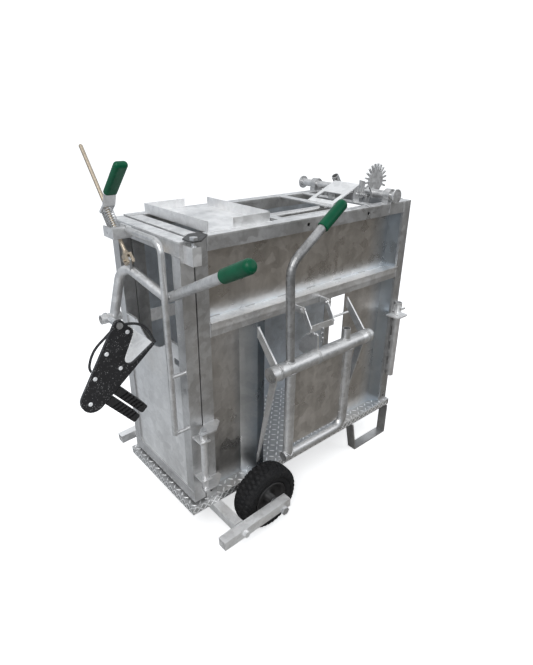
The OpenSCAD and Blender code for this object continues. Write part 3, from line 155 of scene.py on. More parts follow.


def galvanised(name, tone, contrast, spangle=42.0, rough=0.36, streak=0.5, warm=0.0,
               bands=(), sheen_heights=(), shade_tints=(), matt=0.0, dipped=None):
    """Hot-dip zinc: crystals of differing brightness, soft clouds and runs drawn down the wall.

    The brightness is tone (1 + contrast v), where v sums the crystals, finer crystals, clouds, patches and runs.
    bands lists (axis, low, high, gain): the tone is times gain between two metre marks on that axis, and only
    between two marks on X where a pair of them follows; a gain above 1 is a painted highlight.
    The heights of the sheen list where the sheet is painted paler and bluer, fading up above each: a painted reflection
    off a ledge or the floor's top.
    The shade tints list (low, high, colour): the marks on X between which the sheet is painted towards that colour, a
    painted bluish shade beside a fold.
    matt takes that much of the metal away inside the first band, so that the painted bright strip there stays pale in
    the shade around it.
    dipped is the mark on Y below which a tube is green, where it ends inside its dipped grip.
    """
    t = material(name)
    wander = t.vector("SUBTRACT", t.noise(7.0, 2.0, out="Color"), (0.5, 0.5, 0.5))
    bent = t.vector("ADD", t.xyz, t.scaled(wander, 0.05))
    grain = t.axis(0, t.cells(spangle, bent, out="Color"))
    fine = t.axis(1, t.cells(spangle * 2.6, bent, out="Color"))
    cloud = t.noise(4.5, 4.0, 0.62, at=bent)
    patch = t.noise_from((3.1, 7.7, 1.9), 1.7, 3.0, 0.5)
    runs = t.noise(1.0, 4.0, 0.55, at=t.vector("MULTIPLY", t.xyz, (22.0, 22.0, 1.9)))
    v = ((grain - 0.5) * 0.45 + (fine - 0.5) * 0.25 + (cloud - 0.5) * 1.5
         + (patch - 0.5) * 1.3 + (runs - 0.5) * 1.6 * streak)
    shade, metal = v * contrast + 1.0, METAL
    for k, (axis, low, high, gain, *span) in enumerate(bands):
        at = t.axis(axis)
        inside = (at - low).ramp(-BAND_EDGE, BAND_EDGE) * (high - at).ramp(-BAND_EDGE, BAND_EDGE)
        for x0, x1 in span:
            inside = inside * (t.axis(0) - x0).ramp(0.0, SHARP_EDGE) * (x1 - t.axis(0)).ramp(0.0, SHARP_EDGE)
        shade = shade * (inside * (gain - 1.0) + 1.0)
        if matt and k == 0:
            metal = inside * -matt + METAL
    base = (tone * (1.0 + warm), tone * (1.0 + warm * 0.35), tone * (1.0 - warm * 0.4))
    colour = t.scaled(base, shade)
    stain = t.noise_from((4.0, 1.0, 2.0), 2.3, 5.0, 0.65).ramp(0.55, 0.80)
    colour = t.mix(stain * 0.4, colour, tuple(tone * c for c in RUST_TINT))
    white = t.noise_from((9.0, 2.0, 5.0), 3.4, 5.0, 0.7).ramp(0.60, 0.78)
    colour = t.mix(white * 0.35, colour, WHITE_BLOOM)
    # painted sheen: paler and bluer, fading up from each height, a painted reflection off a ledge or the floor's top
    for height in sheen_heights:
        up = t.axis(2) - height
        near = up.ramp(SHEEN_RISE, 0.0) * up.ramp(-SHARP_EDGE, 0.0)
        colour = t.mix(near * near * (cloud * 1.3 + 0.1).clamp(), colour, SHEEN_BLUE)
    # painted bluish shade, deepening along X towards a fold
    for low, high, tint in shade_tints:
        colour = t.mix(t.axis(0).ramp(low, high) * (0.55 + 0.5 * cloud).clamp(), colour, tint)
    if dipped:
        inside = (dipped - t.axis(1)).ramp(0.0, SHARP_EDGE)
        colour = t.mix(inside, colour, DIP_GREEN)
        metal = metal * (1.0 - inside)
    return t.surface(
        Base_Color=colour, Metallic=metal,
        Roughness=(grain * 0.14 + cloud * 0.25 + white * 0.2 + (rough - 0.19)).clamp(),
        Normal=t.bump(runs * 0.7 * streak + patch * 1.2, 0.002, 0.3))


def tread_plate(name, tone):
    """The galvanised plate of the floor, with a painted highlight on its top, on what stands just above it and on its
    near lip.
    """
    return galvanised(name, tone, 0.3, spangle=70.0, rough=0.4, streak=0.1,
                      bands=((2, 0.2075, 0.2300, 1.5), (1, -0.1800, -0.1660, 1.5)))


def zinc(name, base, rough):
    """Bright plated fasteners with a faint drawn grain."""
    t = material(name)
    drawn = t.noise(160.0, 2.0)
    return t.surface(
        Base_Color=t.mix(drawn.ramp(0.35, 0.7), *shades(base, 0.8, 1.0)), Metallic=0.9,
        Roughness=(drawn * 0.2 + rough - 0.1).clamp(), Normal=t.bump(drawn, 0.0002, 0.4))


def plastic(name, base, rough, flecks=0.0, shine=0.5):
    """Moulded plastic with an orange-peel skin, and pale flecks where flecks is above nothing."""
    t = material(name)
    peel = t.noise(220.0, 2.0)
    cloud = t.noise(14.0, 3.0)
    colour = t.mix(cloud.ramp(0.3, 0.7), *shades(base, 0.82, 1.18))
    if flecks:
        fleck = t.cells(170.0).ramp(0.30, 0.16) * t.noise(60.0, 1.0).ramp(0.42, 0.5)
        colour = t.mix(fleck * flecks, colour, (0.4, 0.4, 0.4))
    return t.surface(
        Base_Color=colour, Roughness=(peel * 0.15 + rough - 0.07).clamp(),
        Specular_IOR_Level=shine, Normal=t.bump(peel, 0.0003, 0.5))


def rubber(name):
    """Tyre rubber, dusty in patches."""
    t = material(name)
    dust = t.noise(30.0, 5.0, 0.7).ramp(0.5, 0.75)
    return t.surface(
        Base_Color=t.mix(dust * 0.35, (0.012, 0.012, 0.013), (0.07, 0.066, 0.062)),
        Roughness=(dust * 0.2 + 0.62).clamp(), Specular_IOR_Level=0.25,
        Normal=t.bump(t.noise(400.0, 2.0), 0.0004, 0.5))


def woven(name, base):
    """Cord skin of fine yarns; the plait itself is in the rope's mesh."""
    t = material(name)
    yarn = t.noise(500.0, 2.0)
    return t.surface(
        Base_Color=t.mix(yarn.ramp(0.3, 0.75), *shades(base, 0.5, 1.6)),
        Roughness=(yarn * 0.2 + 0.65).clamp(), Normal=t.bump(yarn, 0.0004, 0.6))


SPAN = (-0.363, 0.718)              # the clear length between the corner posts, in metres
SIDE_TOP_HIGHLIGHT, GATE_TOP_HIGHLIGHT = (1.271, 1.30), (1.266, 1.30)      # painted highlight on the topmost few millimetres of the side and the gate
# painted sheen on the lower sheets, fading up from the floor's top
SHEET_COAT = dict(spangle=26.0, rough=0.34, streak=0.7, sheen_heights=(0.209,))

GALV = galvanised("galv_frame", 0.55, 0.36)
GATE = galvanised("galv_gate", 0.55, 0.36, bands=((2, *GATE_TOP_HIGHLIGHT, 1.55),))
BARTOP = galvanised("galv_top_bars", 0.55, 0.30, bands=((2, *SIDE_TOP_HIGHLIGHT, 1.45),))
# painted highlights on the mid rail's face, the ledge on top of it and the top of the side
RAIL = galvanised("galv_rail", 0.52, 0.36,
                  bands=((2, 0.905, 0.935, 1.25, SPAN), (2, 0.939, 0.980, 1.75, SPAN), (2, *SIDE_TOP_HIGHLIGHT, 1.5)))
# painted bright strip on the far mid rail's inner face, which lies in shade, and a painted highlight on the top
FARRAIL = galvanised("galv_far_rail", 0.55, 0.36, matt=0.7,
                     bands=((2, 0.828, 0.888, 1.6, SPAN), (2, *SIDE_TOP_HIGHLIGHT, 1.4)))
STRAP = galvanised("galv_strap", 0.62, 0.3, bands=((2, 1.2745, 1.29, 0.10),))
# painted sheen above the ledge at 0.970 m, and a painted bluish shade towards the rear jamb
SHEET = galvanised("galv_sheet", 0.44, 0.36, spangle=26.0, rough=0.32, streak=0.7, warm=0.12,
                   sheen_heights=(0.970,), shade_tints=((0.54, 0.68, (0.30, 0.36, 0.42)),))
# painted bluish shade towards the rear jamb
LOWSHEET = galvanised("galv_low_sheet", 0.53, 0.42, warm=0.08,
                      shade_tints=((0.58, 0.70, (0.36, 0.43, 0.50)),), **SHEET_COAT)
# painted dark blue shade over the fold of the front sheet
FOLDED = galvanised("galv_folded", 0.50, 0.42, warm=0.06,
                    shade_tints=((-0.24, -0.14, (0.10, 0.14, 0.18)),), **SHEET_COAT)
DARKSHEET = galvanised("galv_shaded", 0.72, 0.30, spangle=26.0, rough=0.42, warm=-0.10)
PANEL = galvanised("galv_panel", 0.80, 0.30, spangle=30.0, rough=0.42, streak=0.3)
TUBE = galvanised("galv_tube", 0.64, 0.40, spangle=60.0, rough=0.40, streak=0.2)
LIFT = galvanised("galv_lift_tube", 0.64, 0.40, spangle=60.0, rough=0.40, streak=0.2, dipped=-0.46)
LEVER = galvanised("galv_lever", 0.44, 0.55, spangle=60.0, rough=0.42, streak=0.4)
PLATE = galvanised("galv_plate", 0.80, 0.26, spangle=50.0, rough=0.42, streak=0.1)
TRAY = galvanised("galv_tray", 0.87, 0.24, spangle=34.0, rough=0.44, streak=0.1)
# a lighter copy of the plate finish: the arm tubes painted lighter, standing in for the light that falls on their tops
ARM = galvanised("galv_arm", 0.94, 0.26, spangle=50.0, rough=0.46, streak=0.1)
WELD = galvanised("galv_weld", 0.56, 0.2, spangle=120.0, rough=0.42, streak=0.1)
FLOOR = tread_plate("galv_tread", 0.38)
BARS = tread_plate("galv_tread_bars", 0.86)
ZINC = zinc("plated", (0.66, 0.67, 0.68), 0.34)
TAN = zinc("tan_passivate", (0.56, 0.48, 0.38), 0.42)
GREEN = plastic("dip_green", DIP_GREEN, 0.34, shine=0.22)
CHEEK = plastic("cheek_black", (0.018, 0.018, 0.02), 0.42, flecks=0.7)
CLEAT = plastic("cleat_black", (0.02, 0.02, 0.021), 0.5)
CAP = plastic("bolt_cap", (0.78, 0.79, 0.8), 0.4)
RIM = plastic("rim_dark", (0.025, 0.024, 0.024), 0.4)
TYRE = rubber("tyre_rubber")
ROPE = woven("rope_black", (0.03, 0.03, 0.032))

FINISH = {
    RAIL: "near_frame", FARRAIL: "far_frame", STRAP: "gate_brackets", GATE: "gate_frame", BARTOP: "top_bars",
    SHEET: "near_upper_sheet", LOWSHEET: "near_rear_sheet pusher_sheet", FOLDED: "near_front_sheet",
    DARKSHEET: "far_upper_sheet far_lower_sheet", PANEL: "neck_panel", FLOOR: "floor_pan",
    TRAY: "tool_tray rump_cover scoop_tray", LEVER: "squeeze_lever", LIFT: "lift_lever",
    TUBE: "squeeze_tube pusher_loop foot_stub guard_loop rump_shaft rump_fan slide_bars",
    ARM: "cross_tube wheel_arms",
    PLATE: "gussets squeeze_pawl pawl_lugs lock_bracket release_lever race_sockets squeeze_ratchet gate_lugs",
    GREEN: "lift_grip release_grip squeeze_grip", CHEEK: "near_cheek", CLEAT: "jam_cleats", ROPE: "nose_rope",
    CAP: "cheek_bolts", TYRE: "near_wheel far_wheel", TAN: "lock_rod rod_clevis",
    ZINC: "lock_spring pawl_chain axle_bolts gate_pins lift_pivot_bolt scoop_pin",
}
PAINT = {name: coat for coat, names in FINISH.items() for name in names.split()}
for name, node in NODES.items():
    node.data.materials.clear()
    node.data.materials.append(PAINT.get(name, GALV))

# The corners of box tube are rolled and those of folded plate dressed, so they catch the light
ROLLED, DRESSED = 0.0025, 0.0008
SAME_PLACE, SAME_PLANE, CORNER = 1e-5, np.radians(0.5), np.radians(50)
for width, names in ((ROLLED, "near_frame far_frame top_bars gate_frame cross_tube wheel_arms"),
                     (DRESSED, "floor_pan rear_skids tool_tray gussets lock_bracket")):
    for name in names.split():
        weld = NODES[name].modifiers.new("weld", "WELD")
        weld.merge_threshold = SAME_PLACE
        flat = NODES[name].modifiers.new("flat", "DECIMATE")
        flat.decimate_type, flat.angle_limit = "DISSOLVE", SAME_PLANE
        bevel = NODES[name].modifiers.new("corner", "BEVEL")
        bevel.limit_method, bevel.angle_limit = "ANGLE", CORNER
        bevel.width, bevel.segments = width, 2
        bevel.use_clamp_overlap, bevel.harden_normals = True, False


# Tools for the pieces
ORIGIN = np.array([487.905, 171.5, 0.0])      # the frame's origin in crate millimetres


def crate(points):
    """Crate millimetres to frame metres."""
    return (np.asarray(points, float) - ORIGIN) / 1000.0


def piece(name, points, faces, body, *coats, slots=None):
    """A mesh of crate points that rides on a body, with one coat, or more where slots tells the faces apart."""
    mesh = bpy.data.meshes.new(name)
    mesh.from_pydata(crate(points).tolist(), [], faces)
    for coat in coats:
        mesh.materials.append(coat)
    mesh.polygons.foreach_set("use_smooth", [True] * len(mesh.polygons))
    if slots is not None:
        mesh.polygons.foreach_set("material_index", slots)
    mesh.update()
    made = bpy.data.objects.new(name, mesh)
    bpy.context.collection.objects.link(made)
    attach(made, body)
    return made


def grid_faces(rows, around, start=0):
    """Quads between neighbouring rows of a grid whose rows close on themselves."""
    i, j = np.meshgrid(np.arange(rows - 1), np.arange(around), indexing="ij")
    k = (j + 1) % around
    below, above = i * around, (i + 1) * around
    return np.stack([below + j, above + j, above + k, below + k], -1).reshape(-1, 4) + start


def smooth_path(points, per):
    """Catmull-Rom curve, per points to a span: from b to c with a and d beyond them, at t from 0 to 1,

    (2b + (c - a) t + (2a - 5b + 4c - d) t^2 + (3b - a - 3c + d) t^3) / 2.
    """
    p = np.asarray(points, float)
    q = np.vstack([2 * p[0] - p[1], p, 2 * p[-1] - p[-2]])
    t = np.linspace(0, 1, per, endpoint=False)[:, None]
    a, b, c, d = (q[k:len(q) - 3 + k, None] for k in range(4))
    curve = 0.5 * (2 * b + (c - a) * t + (2 * a - 5 * b + 4 * c - d) * t ** 2 + (3 * b - a - 3 * c + d) * t ** 3)
    return np.vstack([curve.reshape(-1, 3), p[-1:]])


def sweep(path, radius, around):
    """Tube along a path: ring k at angle a lies at path + radius(s, a) (cos a u + sin a v).

    s is the length run so far, and u and v are carried along without twist. Both ends close to a point.
    """
    path = np.asarray(path, float)
    rows = len(path)
    tangent = np.gradient(path, axis=0)
    tangent /= np.linalg.norm(tangent, axis=1)[:, None]
    run = np.concatenate([[0], np.cumsum(np.linalg.norm(np.diff(path, axis=0), axis=1))])
    angle = np.linspace(0, 2 * np.pi, around, endpoint=False)
    u, rings = np.cross(tangent[0], [0.31, 0.2, 0.93]), []
    for p, t, s in zip(path, tangent, run):
        u = u - t * (u @ t)
        u /= np.linalg.norm(u)
        v = np.cross(t, u)
        rings.append(p + radius(s, angle)[:, None] * (np.cos(angle)[:, None] * u + np.sin(angle)[:, None] * v))
    points = np.vstack(rings + [path[:1], path[-1:]])
    j = np.arange(around)
    k, last, foot = (j + 1) % around, (rows - 1) * around, rows * around
    near_cap = np.stack([j, np.full(around, foot), k], -1)
    far_cap = np.stack([last + j, last + k, np.full(around, foot + 1)], -1)
    return points, grid_faces(rows, around)[:, ::-1].tolist() + near_cap.tolist() + far_cap.tolist()


def circle(centre, normal, radius, count=40):
    """A circle of points round a normal, its first point met again by its last."""
    c, k = np.asarray(centre, float), np.asarray(normal, float)
    u = np.cross(k, [0.3, 0.5, 0.81])
    u /= np.linalg.norm(u)
    a = np.linspace(0, 2 * np.pi, count)[:, None]
    return c + radius * (np.cos(a) * u + np.sin(a) * np.cross(k, u))


# Wheels
AXLE_X, AXLE_Z = 318, 144
LUGS, LUG_STEPS = 36, 14            # tread lugs round a tyre, and the grid steps that each takes
TREAD_HALF, ROW_WIDTH, GROOVE = 66, 26.4, 6.5
RIM_LINE = np.array([               # the rim's section: radius, and place across the wheel, positive towards the crate
    [74, 44], [79, 43], [80, 40], [72, 34], [62, 26], [60, 6], [48, 2], [34, 8], [24, 12], [22, 54],
    [12, 54.5], [12, -54.5], [22, -54], [22, -20], [60, -8], [62, -26], [72, -34], [80, -40], [79, -43],
    [74, -44]], float)


def wheel(name, y, flip, node):
    """Tyre and rim turned about Y.

    Tyre: at angle a round its section, half width 49 |sin a|^0.72, and radius 112 + 32 |cos a|^0.62 outside and
    112 - 42 |cos a|^0.9 inside, less 6.5 mm (1 - block) on the tread and 0.8 + 0.6 sin(1.3 radius) beside it.
    Block is 1 inside each lug, in rows that are staggered by half a lug and bowed a quarter. Rim: RIM_LINE turned.
    """
    rows, around = 64, LUGS * LUG_STEPS
    a = np.radians(np.linspace(-150, 150, rows))
    across = 49 * np.sign(np.sin(a)) * np.abs(np.sin(a)) ** 0.72
    radius = np.where(np.abs(a) < np.pi / 2, 112 + 32 * np.abs(np.cos(a)) ** 0.62, 112 - 42 * np.abs(np.cos(a)) ** 0.9)
    turn = np.linspace(0, 2 * np.pi, around, endpoint=False)
    s = np.cumsum(np.hypot(np.gradient(across), np.gradient(radius)))
    s -= s[rows // 2]
    row = np.floor((s + TREAD_HALF) / ROW_WIDTH)
    in_row = ((s + TREAD_HALF) / ROW_WIDTH) % 1
    stagger = 0.5 * (row[:, None] % 2) + 0.25 * np.sin(in_row[:, None] * np.pi)
    in_lug = (turn[None, :] * LUGS / (2 * np.pi) + stagger) % 1

    def plateau(x, margin):
        """1 in the middle of a cell from 0 to 1, falling to 0 within 0.07 past the margin on both sides."""
        return np.clip((0.5 - np.abs(x - 0.5) - margin) / 0.07, 0, 1)

    block = plateau(in_row, 0.07)[:, None] * plateau(in_lug, 0.12)
    tread = (np.abs(s) < TREAD_HALF)[:, None]
    r = radius[:, None] - np.where(tread, GROOVE * (1 - block), 0.8 + 0.6 * np.sin(radius[:, None] * 1.3))
    w = np.repeat(across[:, None], around, 1)
    tyre = np.stack([r * np.cos(turn), w * flip, r * np.sin(turn)], -1).reshape(-1, 3)

    sides = 64
    turn = np.linspace(0, 2 * np.pi, sides, endpoint=False)
    r, w = RIM_LINE[:, :1], RIM_LINE[:, 1:]
    rim = np.stack([r * np.cos(turn), -w * flip * np.ones(sides), r * np.sin(turn)], -1).reshape(-1, 3)
    parts = [grid_faces(rows, around), grid_faces(len(RIM_LINE), sides, start=len(tyre))]
    faces = np.vstack(parts)[:, ::-flip]
    slots = [0] * len(parts[0]) + [1] * len(parts[1])
    made = piece(name, np.vstack([tyre, rim]) + (AXLE_X, y, AXLE_Z), faces.tolist(), node, TYRE, RIM, slots=slots)
    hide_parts(node)


wheel("near_tyre", -66, -1, "near_wheel")
wheel("far_tyre", 583, 1, "far_wheel")


# Raised bars of the tread plate
FLOOR_L, FLOOR_W, FLOOR_TOP, LIP_FOOT, LIP_H = 1270, 517, 209, 176, 33
BAR_STEPS = np.array([[0.0, 1.0], [0.8, 0.8], [1.1, 0.45]])      # height in mm, and share of the bar's plan
BAR_LONG, BAR_WIDE, BAR_SIDES = 12.0, 3.3, 10                    # half lengths, and sides of the oval
BAR_ROOM = (9, 6)                                                # what a bar's middle keeps from the far edges


def tread_bars(name, size, origin, along, up, pitch):
    """Oval bars on a square grid, each turned 45 degrees and square to its neighbours.

    Point (cos a, sin a) of a step lies at its grid point + turned (12 k cos a, 3.3 k sin a) + height (along x up).
    """
    width, height = size
    along, up = np.array(along, float), np.array(up, float)
    i, j = np.meshgrid(np.arange(int(width / pitch) + 1), np.arange(int(height / pitch) + 1), indexing="ij")
    u, v = (i + 0.5) * pitch, (j + 0.5) * pitch
    kept = (u <= width - BAR_ROOM[0]) & (v <= height - BAR_ROOM[1])
    turn = np.where((i + j)[kept] % 2, np.pi / 4, -np.pi / 4)[:, None, None]
    u, v = u[kept][:, None, None], v[kept][:, None, None]
    a = np.linspace(0, 2 * np.pi, BAR_SIDES, endpoint=False)
    rise, share = BAR_STEPS[:, :1], BAR_STEPS[:, 1:]
    x, y = BAR_LONG * share * np.cos(a), BAR_WIDE * share * np.sin(a)
    u, v = u + x * np.cos(turn) - y * np.sin(turn), v + x * np.sin(turn) + y * np.cos(turn)
    points = np.array(origin, float) + u[..., None] * along + v[..., None] * up + rise[..., None] * np.cross(along, up)
    n = BAR_SIDES
    bar = [[n * k + q, n * k + (q + 1) % n, n * k + n + (q + 1) % n, n * k + n + q] for k in (0, 1) for q in range(n)]
    bar.append([2 * n + q for q in range(n)])
    faces = [[3 * n * b + corner for corner in face] for b in range(len(points)) for face in bar]
    piece(name, points.reshape(-1, 3), faces, "crate", BARS)


UP = (0, 0, 1)
tread_bars("tread_top", (FLOOR_L, FLOOR_W), (0, 0, FLOOR_TOP), (1, 0, 0), (0, 1, 0), 29.0)
tread_bars("tread_front_lip", (FLOOR_W, LIP_H), (0, FLOOR_W, LIP_FOOT), (0, -1, 0), UP, 16.5)
tread_bars("tread_near_lip", (FLOOR_L, LIP_H), (0, 0, LIP_FOOT), (1, 0, 0), UP, 16.5)
tread_bars("tread_far_lip", (FLOOR_L, LIP_H), (FLOOR_L, FLOOR_W, LIP_FOOT), (-1, 0, 0), UP, 16.5)
tread_bars("tread_rear_lip", (FLOOR_W, LIP_H), (FLOOR_L, 0, LIP_FOOT), (0, 1, 0), UP, 16.5)


# Weld beads
FRONT_POST, REAR_POST = (75, 125), (1206, 1256)      # X of their front and rear faces
FACE, INNER, SHEET_LINE = 13.5, 64, 58.5             # Y of a bead on the posts, of their inner side, of the sheets
RAIL_FOOT, RAIL_TOP, SIDE_TOP = 915, 970, 1275       # Z of the near rail and of the side
SQUEEZE_Y, SQUEEZE_Z, SQUEEZE_R = -100, 745, 30      # axis and radius of the squeeze tube
BEAD_STEP = 1.6                                      # millimetres between the rings of a straight bead


def bead(name, path, body, radius):
    """Bead half sunk in a corner, its radius times 1 + 0.22 |sin(0.63 s + phase)| + 0.1 sin(0.21 s + 3 a)."""
    phase = rng.uniform(0, 6)
    if len(path) > 2:
        line = smooth_path(path, 6)
    else:
        length = np.linalg.norm(np.subtract(path[1], path[0]))
        line = np.linspace(path[0], path[1], max(3, int(length / BEAD_STEP)))
    points, faces = sweep(
        line, lambda s, a: radius * (1 + 0.22 * abs(np.sin(s * 0.63 + phase)) + 0.1 * np.sin(s * 0.21 + 3 * a)), 8)
    piece(name, points, faces, body, WELD)


def beads(name, paths, body, radius):
    for k, path in enumerate(paths):
        bead(f"{name}_{k}", path, body, radius)


def upright(x, y, z, length):
    return [(x, y, z), (x, y, z + length)]


def level(x, y, z, length):
    return [(x, y, z), (x + length, y, z)]


def both(path):
    """A path and its mirror image on the far side, with the words for them."""
    near = np.array(path, float)
    return ("near", near), ("far", near * (1, -1, 1) + (0, FLOOR_W, 0))


seams = [[(FRONT_POST[0], 14, FLOOR_TOP), (FRONT_POST[0], INNER, FLOOR_TOP)],
         level(FRONT_POST[0], FACE, FLOOR_TOP, 50), level(REAR_POST[0], FACE, FLOOR_TOP, 50),
         [(REAR_POST[1], 14, FLOOR_TOP), (REAR_POST[1], INNER, FLOOR_TOP)],
         level(FRONT_POST[0], INNER, SIDE_TOP, 50), level(REAR_POST[0], INNER, SIDE_TOP, 50)]
seams += [[(x, FACE, z0), (x, FACE, z1)] for z0, z1 in ((RAIL_FOOT, RAIL_TOP), (1226, 1274))
          for x in (FRONT_POST[1], REAR_POST[0])]
seams.append([(FRONT_POST[1], 16, RAIL_TOP), (FRONT_POST[1], 58, RAIL_TOP)])
# the cross tube's ends on the wheel arms, and the tops and feet of the skids
seams += [upright(95, -148, 136, 38), level(96, -148, 175, 38), upright(135, -148, 136, 38),
          [(1248, -8, 175), (1248, 38, 175)], [(1249, -8, 8.5), (1249, 38, 8.5)], [(1007, -6, 8), (1007, 38, 8)]]
# stitches along the sheets
seams += [level(x, SHEET_LINE, z, 45) for x in range(150, 1140, 165) for z in (RAIL_TOP, 1225)]
seams += [level(x, SHEET_LINE, FLOOR_TOP, 40) for x in (150, 250, 985, 1090)]
for k, seam in enumerate(seams):
    for side, path in both(seam):
        bead(f"weld_{side}_{k}", path, "crate", 2.6)

brackets = [upright(x, FACE, z, 46) for x in (340, 348, 854, 862) for z in (849, 256)]           # gussets
brackets += [level(76, FACE, z, 48) for z in (305, 311, 563, 569)]                               # gate brackets
brackets.append([(83, 58, 1275.5), (126, 58, 1275.5), (127, 15, 1275.5)])                        # top strap
brackets += [[(x, 12.5, 941), (x, 12.5, 917)] for x in (525.5, 534.5, 675.5, 684.5)]             # pawl lugs
beads("weld_bracket", brackets, "crate", 2.8)
beads("weld_bearing", [circle((x, SQUEEZE_Y, SQUEEZE_Z), (1, 0, 0), SQUEEZE_R + 0.4) for x in (340, 348, 854, 862)],
      "crate", 3.0)
for k, z in enumerate((395, 480, 565, 650, 735)):
    for side, path in both(upright(1229, 12.5, z, 34)):
        bead(f"weld_socket_{side}_{k}", path, "crate", 2.8)

beads("weld_peg", [circle((20, 27, z), (1, 0, 0), 7.3) for z in (572, 805)], "front_gate", 2.2)
for k, z in enumerate((351.5, 357.5, 528.5, 534.5)):
    bead(f"weld_sleeve_{k}", circle((50, -24, z), (0, 0, 1), 13.3), "front_gate", 2.2)
    bead(f"weld_lug_{k}", level(27, FACE, z, 41), "front_gate", 2.4)
beads("weld_gate", [[(19.6, y, z), (19.6, y + inward, z)] for z in (1220, 270) for y, inward in ((16, 46), (501, -46))],
      "front_gate", 2.4)


def saddle(x, radius, sign):
    """Where an upright meets the squeeze tube: Z = axis + sign sqrt(R^2 - y^2), with y round the upright."""
    a = np.linspace(0, 2 * np.pi, 44)
    y = (radius + 0.4) * np.sin(a)
    z = SQUEEZE_Z + sign * np.sqrt(SQUEEZE_R ** 2 - np.minimum(y ** 2, SQUEEZE_R ** 2))
    return np.stack([x + (radius + 0.4) * np.cos(a), SQUEEZE_Y + y, z], -1)


beads("weld_tube", [saddle(411, 21, -1), saddle(748, 21, -1), saddle(408, 17, 1), saddle(730, 17, 1)], "squeeze", 3.0)
# the pusher's front leg on its foot bar, which is as thick: Z = bar + R |cos a| round the leg
a = np.linspace(0, 2 * np.pi, 44)
x, y, z = 21.4 * np.cos(a), 21.4 * np.sin(a), 21.4 * np.abs(np.cos(a)) + 0.6
bead("weld_foot", np.stack([411 + x, SQUEEZE_Y + y, 330 + z], -1), "squeeze", 2.8)
for k, x in enumerate((433, 726)):
    for j, z in enumerate(range(372, 700, 72)):
        bead(f"weld_panel_{k}_{j}", upright(x, -97, z, 34), "squeeze", 2.4)
beads("weld_ratchet", [circle((x, SQUEEZE_Y, SQUEEZE_Z), (1, 0, 0), SQUEEZE_R + 0.3) for x in (548, 556)],
      "squeeze", 2.2)
beads("weld_hoop", [circle((1111, y, 1290), (0, 0, 1), 17.4) for y in (162, 403)], "rump_bar", 2.4)


# Nose rope
SCOOP_SLOPE, SCOOP_PIN = np.radians(39.0), (-124.5, 967)
PIN_ALONG, PIN_UP = 298, 163        # the pin's place in the scoop's own frame
SCOOP_NEAR = 209.5                  # Y of the scoop's near side
ROPE_THICK = 10.0
ROUTE = [[334.5, 8, -11.5], [341, 16, 4.5], [350, 24, 26.5], [353, 31, 43.5], [352, 38, 61.5], [343, 46, 80.5],
         [327, 55, 97.5], [305, 65, 111.5], [279, 75, 117.5], [257, 83, 115.5], [233, 91, 111.5],
         [203, 102, 106.5], [175, 112, 97.5], [150, 121, 83.5], [132, 128, 69.5], [115, 134, 52.5],
         [106, 139, 30.5], [106, 140, 0.5]]      # the source's route, from the rear corner to the front bolt


def in_scoop(points):
    """Points of the scoop's own frame, X up its floor and Z square to it, in crate millimetres."""
    x, y, z = np.moveaxis(np.asarray(points, float), -1, 0)
    c, s = np.cos(SCOOP_SLOPE), np.sin(SCOOP_SLOPE)
    x0 = SCOOP_PIN[0] - PIN_ALONG * c + PIN_UP * s
    z0 = SCOOP_PIN[1] - PIN_ALONG * s - PIN_UP * c
    return np.stack([x0 + x * c - z * s, y, z0 + x * s + z * c], -1)


def plait(s, a):
    """Radius times 0.86 + 0.14 of the higher of two waves that cross, |cos(2a + 0.42 s)| and |cos(2a - 0.42 s)|."""
    waves = np.maximum(np.abs(np.cos(2 * a + s * 0.42)), np.abs(np.cos(2 * a - s * 0.42)))
    return ROPE_THICK / 2 * (0.86 + 0.14 * waves)


route = in_scoop(smooth_path(np.array(ROUTE, float) + (0, SCOOP_NEAR, 0), 12))
points, faces = sweep(route, plait, 24)
rope = piece("rope_plait", points, faces, "head_scoop", ROPE)
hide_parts("nose_rope")

# Lock spring: the source's helix with round wire
ROD_TILT, ROD_PIN, GUIDE_UP = np.radians(39.5), (-47.5, 234.5, 1176), 110      # the guide's height up the rod
GUIDE_HALF, SLIP = 5, 0.5           # half the guide's plate, and the spring's play at each end
COIL_R, WIRE, SPRING_LENGTH, TURNS = 16.5, 3, 80, 9


def along_rod(points):
    """Points of the lock rod's own frame, Z up the rod from the guide, in crate millimetres."""
    x, y, z = np.moveaxis(np.asarray(points, float), -1, 0)
    c, s = np.cos(ROD_TILT), np.sin(ROD_TILT)
    x0, y0, z0 = ROD_PIN
    return np.stack([x0 + x, y0 + GUIDE_UP * s + y * c + z * s, z0 + GUIDE_UP * c - y * s + z * c], -1)


turn = np.linspace(0, 2 * np.pi * TURNS, 28 * TURNS)
climb = (SPRING_LENGTH - 2 * SLIP - WIRE) / TURNS * turn / (2 * np.pi)
helix = np.stack([COIL_R * np.cos(turn), COIL_R * np.sin(turn), GUIDE_HALF + SLIP + WIRE / 2 + climb], -1)
points, faces = sweep(along_rod(helix), lambda s, a: np.full(len(a), WIRE / 2), 10)
spring = piece("spring_wire", points, faces, "lock_guide", ZINC)
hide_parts("lock_spring")
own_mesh(spring)


# Floor, sky and lamps. Zinc shows what it mirrors, so the floor is white to the camera and a dull yard to the rest
YARD_NEAR, YARD_FAR = (0.22, 0.205, 0.185), (0.66, 0.68, 0.70)
HORIZON, SKY, ZENITH = (0.34, 0.37, 0.41), (0.90, 0.93, 0.96), (0.46, 0.47, 0.49)
BACKDROP, SKY_POWER = (1.6, 1.6, 1.6), 0.95          # what the camera sees behind the crate, and the world's strength
LAMPS = (("key", (-2.6, -2.0, 3.8), 2.0, 84), ("fill", (2.8, -3.0, 3.0), 2.4, 18), ("top", (0.4, 0.8, 4.2), 2.6, 14))
AIM = (0, 0, 0.7)

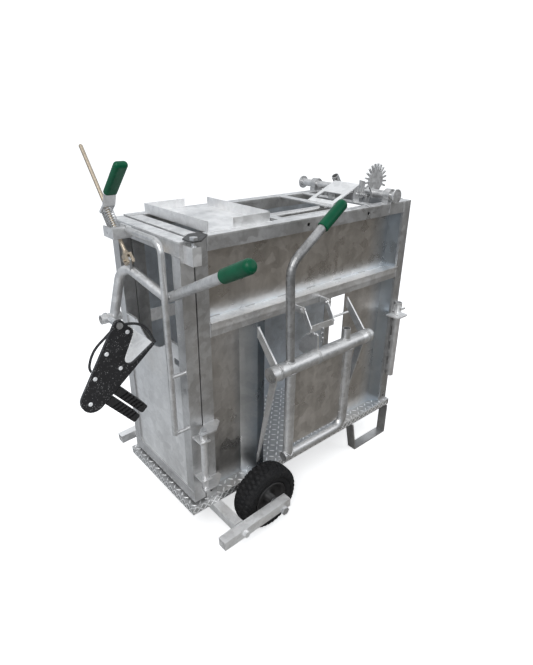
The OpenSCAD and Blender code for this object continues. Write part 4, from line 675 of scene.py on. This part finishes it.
t = material("floor_white")
camera_ray = t.node("ShaderNodeLightPath", {}, out="Is Camera Ray")
yard = t.mix((t.axis(1) - t.axis(0)).ramp(-1.0, 2.6), YARD_NEAR, YARD_FAR)      # paler behind the gate end
t.surface(Base_Color=t.mix(camera_ray, yard, (0.95, 0.95, 0.95)), Roughness=0.9, Specular_IOR_Level=0.0,
          Emission_Color=(1.0, 1.0, 1.0), Emission_Strength=camera_ray * 0.55)
bpy.ops.mesh.primitive_plane_add(size=60, location=(0, 0, -0.001))
floor = bpy.context.object
floor.name = "studio_floor"
floor.data.materials.append(t.owner)

world = bpy.data.worlds.new("studio")
bpy.context.scene.world = world
t = Tree(world, "Generated")
rise = t.axis(2)
sky = t.mix(rise.ramp(0.5, 1.0), t.mix(rise.ramp(0.0, 0.5), HORIZON, SKY), ZENITH)
camera_ray = t.node("ShaderNodeLightPath", {}, out="Is Camera Ray")
t.surface(Color=t.mix(camera_ray, sky, BACKDROP), Strength=SKY_POWER)

for name, at, size, power in LAMPS:
    data = bpy.data.lights.new(name, "AREA")
    data.size, data.energy = size, power
    lamp = bpy.data.objects.new(name, data)
    bpy.context.collection.objects.link(lamp)
    lamp.location = at
    lamp.rotation_euler = (Vector(AIM) - Vector(at)).to_track_quat("-Z", "Y").to_euler()

# Camera, fitted to the photograph
AZIMUTH, ELEVATION, ROLL = np.radians((-41.139, 24.633, 0.763))
EYE, LENS, SENSOR = (-748, -1282, 1648), 26.42, 36.0      # crate millimetres, and the lens and sensor in millimetres

back = Vector((np.sin(AZIMUTH) * np.cos(ELEVATION), -np.cos(AZIMUTH) * np.cos(ELEVATION), np.sin(ELEVATION)))
right = Vector((np.cos(AZIMUTH), np.sin(AZIMUTH), 0))
up = back.cross(right)
right, up = right * np.cos(ROLL) + up * np.sin(ROLL), up * np.cos(ROLL) - right * np.sin(ROLL)
lens = bpy.data.cameras.new("camera")
lens.sensor_fit, lens.sensor_height, lens.sensor_width, lens.lens = "VERTICAL", SENSOR, SENSOR, LENS
camera = bpy.data.objects.new("camera", lens)
bpy.context.collection.objects.link(camera)
camera.matrix_world = Matrix.Translation(Vector(crate(EYE))) @ Matrix((right, up, back)).transposed().to_4x4()
bpy.context.scene.camera = camera
bpy.context.scene.view_settings.view_transform = "Standard"
